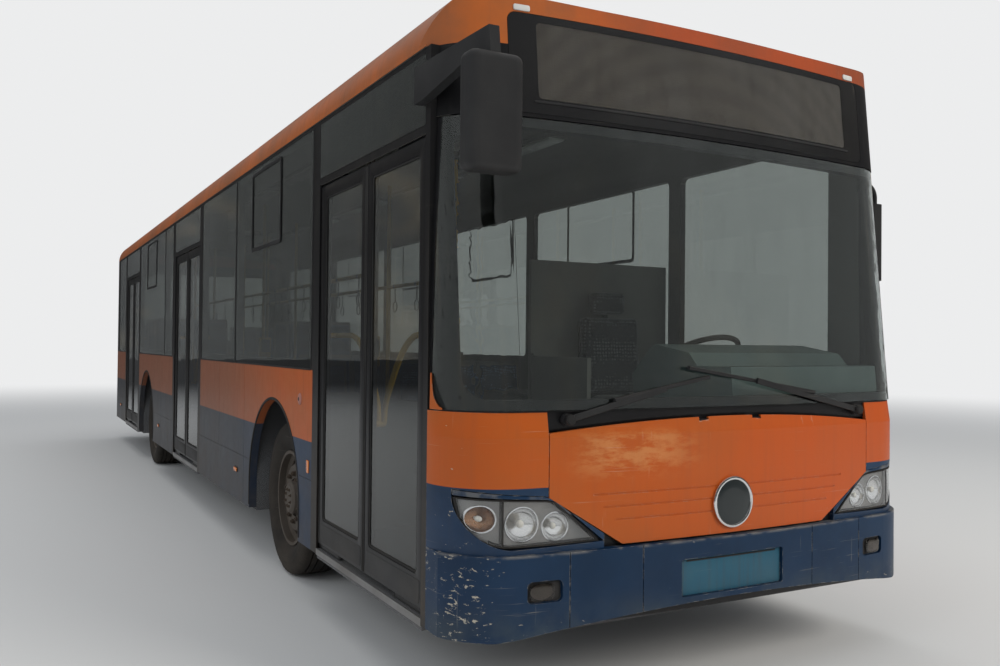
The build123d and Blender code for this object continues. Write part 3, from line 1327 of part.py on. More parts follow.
with BuildPart() as cab_partition:
    with BuildSketch(Plane.XZ.offset(-at(CAB_END + 40))):
        with Locations(((CAB_X - 30 + HALF_WIDTH - WALL - 2) / 2, (FLOOR_Z + 2000) / 2)):
            Rectangle(HALF_WIDTH - WALL - 2 - CAB_X + 30, 2000 - FLOOR_Z - 2 * SEAT_GAP)
    extrude(amount=30)
    with BuildSketch(Plane.XY.offset(CAB_DOOR_TOP + MOVE_GAP)):
        with Locations((CAB_PIN_X, at(CAB_PIN_S + 10))):
            Rectangle(24, 44)
    extrude(amount=12)
    with BuildSketch(Plane.XY.offset(CAB_FLOOR_Z - MOVE_GAP - 12)):
        with Locations((CAB_PIN_X, at(CAB_PIN_S + 10))):
            Rectangle(24, 44)
    extrude(amount=12)
    with BuildSketch(Plane.XY.offset(CAB_FLOOR_Z - MOVE_GAP - 12)):
        with Locations((CAB_PIN_X, at(CAB_PIN_S))):
            Circle(CAB_PIN_R)
    extrude(amount=CAB_DOOR_TOP - CAB_FLOOR_Z + 2 * MOVE_GAP + 12)
save(cab_partition, "cab_partition")

with BuildPart() as cab_door:
    with BuildSketch(Plane.YZ.offset(CAB_PIN_X - CAB_DOOR_T / 2)):
        with Locations((at(CAB_PIN_S - 310), (CAB_FLOOR_Z + CAB_DOOR_TOP) / 2)):
            Rectangle(600, CAB_DOOR_TOP - CAB_FLOOR_Z)
    extrude(amount=CAB_DOOR_T)
    with BuildSketch(Plane.XY.offset(CAB_FLOOR_Z)):
        with Locations((CAB_PIN_X, at(CAB_PIN_S))):
            Circle(CAB_DOOR_T / 2)
    extrude(amount=CAB_DOOR_TOP - CAB_FLOOR_Z)
    with BuildSketch(Plane.XY.offset(CAB_FLOOR_Z)):
        with Locations((CAB_PIN_X, at(CAB_PIN_S))):
            Circle(CAB_PIN_R + PIN_FIT)
    extrude(amount=CAB_DOOR_TOP - CAB_FLOOR_Z, mode=Mode.SUBTRACT)
save(cab_door, "cab_door")


def seat_profile(front, base, leg):
    """Side-view face of a seat shell facing forward on its leg."""
    pan = base + leg
    with BuildSketch() as face:
        with BuildLine():
            Polyline(
                (at(front), pan - SEAT_SHELL),
                (at(front), pan),
                (at(front + SEAT_PAN - 60), pan),
                (at(front + SEAT_PAN), pan + SEAT_BACK_H),
                (at(front + SEAT_PAN + SEAT_SHELL), pan + SEAT_BACK_H),
                (at(front + SEAT_PAN - 60 + SEAT_SHELL), pan - SEAT_SHELL),
                close=True,
            )
        make_face()
    return face.sketch


SEAT_CENTRES = [
    (side * (SEAT_X + place * (SEAT_W + 10) / 2), front, base, leg)
    for side, front, base, leg in SEAT_ROWS
    for place in (-1, 1)
] + [(0, 11250, BENCH_Z, BENCH_LEG)]
with BuildPart() as passenger_seats:
    for x, front, base, leg in SEAT_CENTRES:
        with BuildSketch(Plane.YZ.offset(x - SEAT_W / 2)):
            add(seat_profile(front, base, leg))
        extrude(amount=SEAT_W)
        with BuildSketch(Plane.XY.offset(base + SEAT_GAP)):
            with Locations((x, at(front + SEAT_PAN / 2))):
                Rectangle(120, 260)
        extrude(amount=leg - SEAT_SHELL - SEAT_GAP + 5)
save(passenger_seats, "passenger_seats")

BACK_SLOPE = 60 / SEAT_BACK_H
with BuildPart() as seat_cushions:
    for x, front, base, leg in SEAT_CENTRES:
        pan = base + leg + SEAT_GAP
        with BuildSketch(Plane.YZ.offset(x - SEAT_W / 2 + 15)):
            with BuildLine():
                Polyline(
                    (at(front + 15), pan),
                    (at(front + 15), pan + CUSHION_T),
                    (at(front + SEAT_PAN - 105), pan + CUSHION_T),
                    (at(front + SEAT_PAN - 105), pan),
                    close=True,
                )
            make_face()
            with BuildLine():
                Polyline(
                    (at(front + SEAT_PAN - 60.3 + 50 * BACK_SLOPE), pan + 50),
                    (at(front + SEAT_PAN - 60.3 - CUSHION_T + 50 * BACK_SLOPE), pan + 50),
                    (at(front + SEAT_PAN - 60.3 - CUSHION_T + 540 * BACK_SLOPE), pan + 540),
                    (at(front + SEAT_PAN - 60.3 + 540 * BACK_SLOPE), pan + 540),
                    close=True,
                )
            make_face()
        extrude(amount=SEAT_W - 30)
save(seat_cushions, "seat_cushions")

# Driver's seat on the cab floor
with BuildPart() as driver_seat:
    with BuildSketch(Plane.YZ.offset(WHEEL_X - 230)):
        with BuildLine():
            Polyline(
                (at(1330), CAB_FLOOR_Z + 400),
                (at(1330), CAB_FLOOR_Z + 500),
                (at(1740), CAB_FLOOR_Z + 480),
                (at(1800), CAB_FLOOR_Z + 1150),
                (at(1890), CAB_FLOOR_Z + 1150),
                (at(1850), CAB_FLOOR_Z + 400),
                close=True,
            )
        make_face()
    extrude(amount=460)
    with BuildSketch(Plane.XY.offset(CAB_FLOOR_Z + SEAT_GAP)):
        with Locations((WHEEL_X, at(1590))):
            Rectangle(300, 360)
    extrude(amount=405)
save(driver_seat, "driver_seat")

# Handrails: upright poles by the gangway with one long rail on each side
with BuildPart() as handrails:
    top_z = CAMBER_Z + sqrt((CAMBER_R - WALL) ** 2 - (POLE_X + POLE_R) ** 2) - 2 * SEAT_GAP
    with BuildSketch(Plane.XY.offset(FLOOR_Z + SEAT_GAP)):
        for station in POLE_STATIONS:
            with Locations((POLE_X, at(station)), (-POLE_X, at(station))):
                Circle(POLE_R)
    extrude(amount=top_z - FLOOR_Z - SEAT_GAP)
    with BuildSketch(Plane.XZ.offset(-at(POLE_STATIONS[0]))):
        with Locations((POLE_X, RAIL_Z), (-POLE_X, RAIL_Z)):
            Circle(POLE_R - 1)
    extrude(amount=POLE_STATIONS[0] - POLE_STATIONS[-1])
save(handrails, "handrails")

# Mirrors: the big one hangs ahead of the door-side corner, the other beside the road-side post
with BuildPart() as mirrors:
    head_x = -(MIRROR_OUT - MIRROR_W / 2)
    head_y = at(-MIRROR_REACH + MIRROR_D / 2)
    with BuildSketch(Plane.XY.offset(MIRROR_Z - MIRROR_H / 2)):
        with Locations((head_x, head_y)):
            RectangleRounded(MIRROR_W, MIRROR_D, 40)
    extrude(amount=MIRROR_H)
    fillet(mirrors.edges().group_by(Axis.Z)[-1], 30)
    fillet(mirrors.edges().group_by(Axis.Z)[0], 30)
    with BuildSketch(Plane.YZ.offset(-HALF_WIDTH - SEAT_GAP)):
        with BuildLine():
            Polyline(
                (at(SIDE_START + 74), MIRROR_Z + 170),
                (at(SIDE_START + 74), MIRROR_Z + 320),
                (head_y - 20, MIRROR_Z + MIRROR_H / 2 + 95),
                (head_y - 35, MIRROR_Z + MIRROR_H / 2 - 10),
                (head_y + 35, MIRROR_Z + MIRROR_H / 2 - 10),
                (head_y + 70, MIRROR_Z + MIRROR_H / 2 + 30),
                (at(SIDE_START + 4), MIRROR_Z + 170),
                close=True,
            )
        make_face()
    extrude(amount=-MIRROR_ARM_W)
    with BuildSketch(Plane.XY.offset(ROAD_MIRROR_Z - MIRROR_H / 2)):
        with Locations((MIRROR_OUT - ROAD_MIRROR_W / 2, at(ROAD_MIRROR_S))):
            RectangleRounded(ROAD_MIRROR_W, MIRROR_D, 36)
    extrude(amount=MIRROR_H)
    with BuildSketch(Plane.YZ.offset(HALF_WIDTH + SEAT_GAP)):
        with Locations((at(ROAD_MIRROR_S), BOW_Z)):
            RectangleRounded(50, 90, 12)
    extrude(amount=10)
    with BuildLine() as bow_path:
        FilletPolyline(
            (HALF_WIDTH + 6, at(ROAD_MIRROR_S), BOW_Z),
            (MIRROR_OUT - BOW_R, at(ROAD_MIRROR_S), BOW_Z),
            (MIRROR_OUT - BOW_R, at(ROAD_MIRROR_S), ROAD_MIRROR_Z),
            radius=BOW_BEND,
        )
    with BuildSketch(Plane(bow_path.line @ 0, z_dir=bow_path.line % 0)):
        Circle(BOW_R)
    sweep(path=bow_path.line)
save(mirrors, "mirrors")


def screen_point(x, z, proud):
    """Point over the windscreen, or over the cowl below it, at a distance in front of its face."""
    face = PANE_SEAT - SEAT_GAP - GLASS_T if z > SCREEN_LOW_Z else PANEL_T
    lean = RAKE * max(0, z - RAKE_FOOT_Z)
    return (x, at(face - proud + lean + x**2 / (2 * FRONT_R)), z)


def bar(first, last, wide, thick):
    """Solid of a flat bar between two points, its broad side to the front."""
    run = Vector(*last) - Vector(*first)
    with BuildPart(mode=Mode.PRIVATE) as piece:
        with BuildSketch(Plane(origin=first, x_dir=run.cross(Vector(0, 1, 0)), z_dir=run)):
            RectangleRounded(wide, thick, min(wide, thick) / 2.5)
        extrude(amount=run.length)
    return piece.part


# Wipers: a spindle in the cowl, an arm, and a blade that lies on the screen
with BuildPart() as wipers:
    for side, tip_x, tip_z in ((-1, -130, 1330), (1, -240, 1370)):
        hub = screen_point(side * WIPER_X, WIPER_Z, WIPER_LIFT)
        with BuildSketch(Plane(origin=hub, x_dir=(1, 0, 0), z_dir=(0, 1, 0))):
            Circle(WIPER_HUB_R)
        extrude(amount=WIPER_LIFT - WIPER_SEAT)
        blade_x = side * WIPER_X + (tip_x - side * WIPER_X) * 0.3
        blade_z = WIPER_Z + (tip_z - WIPER_Z) * 0.38 + 12
        rise = BLADE_H / 2 + SEAT_GAP + (tip_x - blade_x) ** 2 / (8 * FRONT_R)
        add(bar(screen_point(blade_x, blade_z, rise), screen_point(tip_x, tip_z, rise), 16, BLADE_H))
        hold_x = (blade_x + tip_x) / 2
        hold_z = (blade_z + tip_z) / 2
        add(bar(hub, screen_point(hold_x, hold_z, BLADE_H + 10), 26, 12))
save(wipers, "wipers")
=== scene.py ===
"""Looks of a 12 m low-floor city bus, in metres.

The front looks to -Y, the door side is -X and up is +Z. Each sub-assembly is a class that builds
its meshes and dresses them, each finish is a frozen dataclass, and effects that several finishes
share are shader node groups.
"""
import logging
from dataclasses import dataclass, field
from enum import Enum
from functools import reduce
from math import asin, cos, pi, radians, sin, sqrt

import bmesh
import bpy
from mathutils import Matrix, Vector


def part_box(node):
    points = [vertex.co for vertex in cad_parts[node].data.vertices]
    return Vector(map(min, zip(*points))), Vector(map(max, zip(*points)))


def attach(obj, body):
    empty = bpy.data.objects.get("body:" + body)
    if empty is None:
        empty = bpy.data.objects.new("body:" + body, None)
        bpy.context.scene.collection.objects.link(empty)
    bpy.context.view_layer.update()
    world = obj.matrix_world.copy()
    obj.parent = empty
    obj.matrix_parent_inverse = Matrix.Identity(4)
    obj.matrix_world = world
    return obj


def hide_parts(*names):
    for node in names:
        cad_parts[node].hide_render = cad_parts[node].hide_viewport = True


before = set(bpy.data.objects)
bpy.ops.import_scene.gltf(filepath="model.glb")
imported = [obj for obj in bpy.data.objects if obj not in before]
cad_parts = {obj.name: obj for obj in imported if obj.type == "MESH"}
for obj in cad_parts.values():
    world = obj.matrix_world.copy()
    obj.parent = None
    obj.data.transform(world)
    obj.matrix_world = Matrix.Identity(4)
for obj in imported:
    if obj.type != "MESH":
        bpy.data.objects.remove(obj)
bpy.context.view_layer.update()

LOG = logging.getLogger("bus")
Socket = bpy.types.NodeSocket
Colour = tuple[float, float, float]

# Driving sizes, shared with the solids; stations count back from the middle of the front
HALF_WIDTH = 1.275
FLAP_PROUD = 0.009
FRONT_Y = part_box("front_flap")[0].y + FLAP_PROUD
TAIL_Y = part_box("rear_body")[1].y
FRONT_R = 9.0
CORNER_R = 0.3
RAKE = 0.097
RAKE_FOOT_Z = 1.15
BELT_Z = 1.31
CANT_Z = 2.66
TWO_TONE_Z = 0.915
FRONT_AXLE = 2.73
REAR_AXLE = 8.575
DOORWAYS = (("front", 1.1, 1.396), ("middle", 5.905, 1.3), ("rear", 10.015, 1.3))
PORTAL_RIM = 0.1

# Upright cuts that let a flat mesh bend round the front
BENDS = 102
# A height or a side that no part of the bus reaches
BEYOND = 9.0
# Turn between two faces, in radians, past which their edge is sharp
SHARP_ANGLE = 0.6


def bow(x: float) -> float:
    """Y of the front's outer face at a distance from the middle line."""
    corner_x = HALF_WIDTH - CORNER_R
    turn = asin(corner_x / (FRONT_R - CORNER_R))
    if abs(x) <= FRONT_R * sin(turn):
        return FRONT_Y + FRONT_R - sqrt(FRONT_R**2 - x * x)
    corner_s = FRONT_R - (FRONT_R - CORNER_R) * cos(turn)
    reach = min(abs(x) - corner_x, CORNER_R)
    return FRONT_Y + corner_s - sqrt(max(CORNER_R**2 - reach**2, 0.0))


def lean(z: float) -> float:
    """How far the raked front lies back at a height."""
    return RAKE * max(0.0, z - RAKE_FOOT_Z)


def at(station: float) -> float:
    """Y of a station."""
    return FRONT_Y + station


def rounded(low: tuple, high: tuple, radius: float, steps: int = 5) -> list[tuple]:
    """Outline of a rounded rectangle.

    Args:
        low: its lowest corner, two numbers.
        high: its highest corner.
        radius: radius of its corners.
        steps: steps round each corner.

    Returns:
        Its points in order, two numbers each.
    """
    points = []
    for index, (u, v) in enumerate((high, (low[0], high[1]), low, (high[0], low[1]))):
        middle_u = u - radius if index in (0, 3) else u + radius
        middle_v = v - radius if index < 2 else v + radius
        for step in range(steps + 1):
            turn = pi / 2 * (index + step / steps)
            points.append((middle_u + radius * cos(turn), middle_v + radius * sin(turn)))
    return points


def grown(low: tuple, high: tuple, by: float) -> tuple:
    """Two corners, moved apart by a margin."""
    return (low[0] - by, low[1] - by), (high[0] + by, high[1] + by)


def around(u: float, v: float, half_u: float, half_v: float) -> tuple:
    """Two corners round a middle."""
    return (u - half_u, v - half_v), (u + half_u, v + half_v)


def circle(middle: tuple, radius: float, steps: int = 40) -> list[tuple]:
    """Points of a circle, two numbers each."""
    turns = [2 * pi * step / steps for step in range(steps)]
    return [(middle[0] + radius * cos(turn), middle[1] + radius * sin(turn)) for turn in turns]


def put(name: str, data: bpy.types.ID) -> bpy.types.Object:
    """Set an object with this data in the scene."""
    made = bpy.data.objects.new(name, data)
    bpy.context.scene.collection.objects.link(made)
    return made


def evaluated(holder: bpy.types.Object) -> bpy.types.Mesh:
    """A new mesh of what an object looks like now."""
    graph = bpy.context.evaluated_depsgraph_get()
    return bpy.data.meshes.new_from_object(holder.evaluated_get(graph))


class Nodes:
    """A node tree under construction, with short calls for the usual nodes."""

    def __init__(self, tree: bpy.types.NodeTree) -> None:
        """Start on an empty tree."""
        self.tree = tree
        tree.nodes.clear()

    @staticmethod
    def material(name: str) -> tuple:
        """A new material and the builder of its tree."""
        made = bpy.data.materials.new(name)
        made.use_nodes = True
        return made, Nodes(made.node_tree)

    def new(self, kind: str, inputs: dict | None = None, **settings) -> bpy.types.Node:
        """Add a node.

        Args:
            kind: Blender's type name after ShaderNode.
            inputs: values or sockets for its inputs, by name or number.
            **settings: the node's own settings.

        Returns:
            The node.
        """
        node = self.tree.nodes.new(f"ShaderNode{kind}")
        for key, value in settings.items():
            setattr(node, key, value)
        for key, value in (inputs or {}).items():
            if isinstance(value, Socket):
                self.tree.links.new(value, node.inputs[key])
            else:
                node.inputs[key].default_value = value
        return node

    def group(self, name: str, **inputs) -> bpy.types.bpy_prop_collection:
        """Outputs of a shared effect, placed with its values."""
        return self.new("Group", inputs, node_tree=bpy.data.node_groups[name]).outputs

    def math(self, operation: str, first, second=0.0, clamp: bool = False) -> Socket:
        """Result of a Math node on two values."""
        inputs = {0: first, 1: second}
        return self.new("Math", inputs, operation=operation, use_clamp=clamp).outputs[0]

    def times(self, *values, clamp: bool = False) -> Socket:
        """Product of some values."""
        return reduce(lambda one, two: self.math("MULTIPLY", one, two, clamp), values)

    def plus(self, *values, clamp: bool = False) -> Socket:
        """Sum of some values."""
        return reduce(lambda one, two: self.math("ADD", one, two, clamp), values)

    def most(self, *values) -> Socket:
        """Greatest of some values."""
        return reduce(lambda one, two: self.math("MAXIMUM", one, two), values)

    def step(self, value, low: float, high: float) -> Socket:
        """0 below low and 1 above high, smooth between; the reverse where high is the lower."""
        inputs = {0: value, 1: low, 2: high, 3: 0.0, 4: 1.0}
        return self.new("MapRange", inputs, interpolation_type="SMOOTHSTEP").outputs[0]

    def noise(
        self, place, scale, detail: float = 4.0, rough: float = 0.55, warp: float = 0.0,
    ) -> Socket:
        """Value of a noise texture at a place."""
        inputs = {
            "Vector": place, "Scale": scale, "Detail": detail, "Roughness": rough,
            "Distortion": warp,
        }
        return self.new("TexNoise", inputs).outputs[0]

    def cells(self, place, scale, random: float = 1.0) -> Socket:
        """Distance from the middles of a cell texture at a place."""
        inputs = {"Vector": place, "Scale": scale, "Randomness": random}
        return self.new("TexVoronoi", inputs).outputs["Distance"]

    def mix(self, factor, first, second) -> Socket:
        """Colour between two colours, each a socket or three numbers."""
        ends = [each if isinstance(each, Socket) else (*each, 1.0) for each in (first, second)]
        inputs = {0: factor, 6: ends[0], 7: ends[1]}
        return self.new("Mix", inputs, data_type="RGBA").outputs[2]

    def between(self, factor, first, second) -> Socket:
        """Value between two values."""
        return self.new("Mix", {0: factor, 2: first, 3: second}).outputs[0]

    def stretch(self, place, scale: Colour, turn: tuple = (0, 0, 0)) -> Socket:
        """A place, turned and scaled."""
        return self.new("Mapping", {"Vector": place, "Rotation": turn, "Scale": scale}).outputs[0]

    def place(self) -> Socket:
        """Object coordinates."""
        return self.new("TexCoord").outputs["Object"]

    def normal(self) -> Socket:
        """The way that a face looks."""
        return self.new("NewGeometry").outputs["Normal"]

    def axes(self, vector) -> tuple:
        """The three parts of a vector."""
        return tuple(self.new("SeparateXYZ", {0: vector}).outputs)


class Effects:
    """The shader node groups that the finishes share, each drawn by one method."""

    def build(self) -> None:
        """Make each group once."""
        for name, inputs, outputs, draw in (
            ("Road dust", {"Amount": 0.5, "Height": 1.2}, ("Mask",), self.dust),
            ("Edge wear", {"Width": 0.004, "Amount": 0.6}, ("Mask",), self.wear),
            ("Chips", {"Amount": 0.3, "Scale": 18.0}, ("Mask",), self.chips),
            ("Rain runs", {"Amount": 0.3}, ("Mask",), self.streaks),
            ("Scratches", {"Amount": 0.4}, ("Mask",), self.scratches),
            ("Grain", {"Scale": 400.0}, ("Height",), self.grain),
            ("Weave", {"Pitch": 260.0}, ("Height", "Figure"), self.weave),
        ):
            tree = bpy.data.node_groups.new(name, "ShaderNodeTree")
            socket = {"socket_type": "NodeSocketFloat"}
            for key, value in inputs.items():
                tree.interface.new_socket(key, in_out="INPUT", **socket).default_value = value
            for key in outputs:
                tree.interface.new_socket(key, in_out="OUTPUT", **socket)
            nodes = Nodes(tree)
            drawn = draw(nodes, tree.nodes.new("NodeGroupInput").outputs, nodes.place())
            out = tree.nodes.new("NodeGroupOutput")
            for key, value in zip(outputs, drawn):
                tree.links.new(value, out.inputs[key])

    @staticmethod
    def dust(nodes: Nodes, given, place: Socket) -> tuple:
        """Road dust: thick near the road, thin above, and lying on what faces up."""
        z, up = nodes.axes(place)[2], nodes.axes(nodes.normal())[2]
        low = nodes.math("SUBTRACT", 1.0, nodes.math("DIVIDE", z, given["Height"], True), True)
        lying = nodes.times(nodes.step(up, 0.35, 0.95), 0.7)
        cloud = nodes.step(nodes.noise(place, 3.2, 7.0, 0.62), 0.28, 0.72)
        specks = nodes.step(nodes.noise(place, 60.0, 3.0), 0.2, 0.8)
        fine = nodes.plus(0.55, nodes.times(specks, 0.45))
        thick = nodes.most(nodes.math("POWER", low, 1.4), lying)
        return (nodes.times(thick, cloud, fine, given["Amount"], clamp=True),)

    @staticmethod
    def wear(nodes: Nodes, given, place: Socket) -> tuple:
        """Rubbed edges, broken up by noise."""
        edge = nodes.new("Bevel", {"Radius": given["Width"]}, samples=4).outputs[0]
        inputs = {0: edge, 1: nodes.normal()}
        turn = nodes.new("VectorMath", inputs, operation="DOT_PRODUCT").outputs["Value"]
        broken = nodes.step(nodes.noise(place, 26.0, 6.0, 0.7), 0.46, 0.62)
        return (nodes.times(nodes.step(turn, 0.97, 0.8), broken, given["Amount"], clamp=True),)

    @staticmethod
    def chips(nodes: Nodes, given, place: Socket) -> tuple:
        """Scuffs and chips gathered in patches."""
        drag = nodes.stretch(place, (1.0, 1.0, 2.2), (0.3, 0.2, 0.5))
        flake = nodes.noise(drag, given["Scale"], 9.0, 0.68, 0.6)
        level = nodes.math("SUBTRACT", 0.84, nodes.times(given["Amount"], 0.2))
        level = nodes.math("SUBTRACT", level, nodes.times(nodes.noise(place, 1.7, 2.0), 0.12))
        return (nodes.times(nodes.math("SUBTRACT", flake, level), 34.0, clamp=True),)

    @staticmethod
    def streaks(nodes: Nodes, given, place: Socket) -> tuple:
        """Rain runs down upright faces."""
        run = nodes.noise(nodes.stretch(place, (9.0, 9.0, 0.5)), 4.0, 5.0, 0.6)
        return (nodes.times(nodes.step(run, 0.45, 0.78), given["Amount"], clamp=True),)

    @staticmethod
    def scratches(nodes: Nodes, given, place: Socket) -> tuple:
        """Fine scratches, mostly along the bus."""
        lines = nodes.noise(nodes.stretch(place, (3.0, 1.6, 160.0), (0.04, 0.05, 0.0)), 1.0, 3.0)
        cross = nodes.noise(nodes.stretch(place, (40.0, 55.0, 3.0), (0.5, 0.4, 0.2)), 1.0, 3.0)
        both = nodes.most(nodes.step(lines, 0.66, 0.74), nodes.step(cross, 0.69, 0.76))
        where = nodes.step(nodes.noise(place, 2.4, 3.0), 0.42, 0.68)
        return (nodes.times(both, where, given["Amount"], clamp=True),)

    @staticmethod
    def grain(nodes: Nodes, given, place: Socket) -> tuple:
        """Pebbled grain of moulded plastic and rubber."""
        scale = given["Scale"]
        return (nodes.times(nodes.cells(place, scale), nodes.noise(place, scale, 3.0, 0.5)),)

    @staticmethod
    def weave(nodes: Nodes, given, place: Socket) -> tuple:
        """Woven cloth: two crossing sets of threads, with a small repeated figure."""
        threads = []
        for turn in (0.0, pi / 2):
            lay = nodes.stretch(place, (1.0, 1.0, 1.0), (0.0, 0.0, turn))
            wave = nodes.new("TexWave", {"Vector": lay, "Scale": given["Pitch"], "Distortion": 0.4})
            threads.append(wave.outputs[1])
        return nodes.most(*threads), nodes.step(nodes.cells(place, 46.0, 0.25), 0.36, 0.3)


DUST = (0.135, 0.108, 0.082)
PRIMER = (0.46, 0.40, 0.31)
RUNS = (0.06, 0.052, 0.044)
ORANGE = (0.43, 0.076, 0.003)
ORANGE_FADED = (0.38, 0.084, 0.010)
BLUE = (0.0015, 0.018, 0.05)
BLACK = (0.006, 0.006, 0.007)
ROOF = (0.21, 0.18, 0.145)
LINING = (0.10, 0.097, 0.09)
PALE = (0.84, 0.845, 0.85)
DIM = (0.06, 0.062, 0.065)

CHIPPED_ROUGH = 0.7
DUSTY_ROUGH = 0.9
COAT_ROUGH = 0.12
PAINT_GLOSS = 0.3
# How sharp the livery's bands are, in metres
SHARP = 0.001


def scaled(colour: Colour, factor: float, lift: float = 0.0) -> Colour:
    """A colour made lighter or darker."""
    return tuple(part * factor + lift for part in colour)


class Pattern(Enum):
    """Surface pattern of a finish."""

    PLAIN = 0
    GRAINED = 1
    WOVEN = 2
    BRUSHED = 3
    SPECKLED = 4
    MATRIX = 5


@dataclass(frozen=True)
class Finish:
    """A surface finish: its colour, gloss, pattern and ageing."""

    name: str
    colour: Colour
    tone: Colour
    rough: float = 0.5
    metal: float = 0.0
    coat: float = 0.0
    sheen: float = 0.0
    dust: float = 0.25
    height: float = 1.2
    wear: float = 0.0
    bare: Colour = PRIMER
    chips: float = 0.0
    grit: float = 20.0
    runs: float = 0.0
    scratches: float = 0.15
    pattern: Pattern = Pattern.PLAIN
    pitch: float = 420.0
    relief: float = 0.25

    def chip_amount(self, nodes: Nodes) -> float | Socket:
        """How much of the surface is chipped."""
        return self.chips

    def base(self, nodes: Nodes) -> tuple:
        """Colour before ageing.

        Args:
            nodes: the material's tree.

        Returns:
            Its colour socket and a height socket or None.
        """
        place = nodes.place()
        cloud = nodes.step(nodes.noise(place, 2.6, 6.0, 0.6), 0.3, 0.72)
        colour = nodes.mix(cloud, self.colour, self.tone)
        height = None
        if self.pattern is Pattern.GRAINED:
            height = nodes.group("Grain", Scale=self.pitch)[0]
        elif self.pattern is Pattern.WOVEN:
            height, figure = nodes.group("Weave", Pitch=self.pitch)
            colour = nodes.mix(figure, colour, scaled(self.tone, 2.6, 0.02))
            colour = nodes.mix(nodes.times(height, 0.35), colour, self.tone)
        elif self.pattern is Pattern.BRUSHED:
            height = nodes.noise(nodes.stretch(place, (900.0, 3.0, 900.0)), 1.0, 2.0)
        elif self.pattern is Pattern.SPECKLED:
            specks = nodes.step(nodes.noise(place, 900.0, 1.0), 0.6, 0.66)
            colour = nodes.mix(specks, colour, (0.34, 0.34, 0.35))
        elif self.pattern is Pattern.MATRIX:
            height = nodes.step(nodes.cells(place, self.pitch, 0.0), 0.42, 0.3)
            colour = nodes.mix(nodes.times(height, 0.45), colour, self.bare)
        return colour, height

    def build(self) -> bpy.types.Material:
        """Make the material."""
        material, nodes = Nodes.material(self.name)
        place = nodes.place()
        colour, height = self.base(nodes)
        rough = nodes.plus(self.rough, nodes.times(nodes.noise(place, 14.0, 5.0), 0.12), clamp=True)
        if self.runs:
            runs = nodes.group("Rain runs", Amount=self.runs)[0]
            colour = nodes.mix(runs, colour, RUNS)
            rough = nodes.plus(rough, nodes.times(runs, 0.2), clamp=True)
        if self.scratches:
            scratches = nodes.group("Scratches", Amount=self.scratches)[0]
            colour = nodes.mix(scratches, colour, self.bare)
        if self.chips:
            flakes = nodes.group("Chips", Amount=self.chip_amount(nodes), Scale=self.grit)[0]
            colour = nodes.mix(flakes, colour, self.bare)
            rough = nodes.between(flakes, rough, CHIPPED_ROUGH)
        if self.wear:
            colour = nodes.mix(nodes.group("Edge wear", Amount=self.wear)[0], colour, self.bare)
        dirt = nodes.group("Road dust", Amount=self.dust, Height=self.height)[0]
        colour = nodes.mix(dirt, colour, DUST)
        rough = nodes.between(dirt, rough, DUSTY_ROUGH)
        if height is None:
            bump = {"Height": nodes.noise(place, 5.0, 3.0), "Strength": 0.12, "Distance": 0.004}
        else:
            bump = {"Height": height, "Strength": self.relief, "Distance": 0.0006}
        inputs = {
            "Base Color": colour, "Roughness": rough, "Metallic": self.metal,
            "Coat Weight": self.coat, "Coat Roughness": COAT_ROUGH,
            "Specular IOR Level": PAINT_GLOSS, "Sheen Weight": self.sheen,
            "Normal": nodes.new("Bump", bump).outputs[0],
        }
        nodes.new("OutputMaterial", {0: nodes.new("BsdfPrincipled", inputs).outputs[0]})
        return material


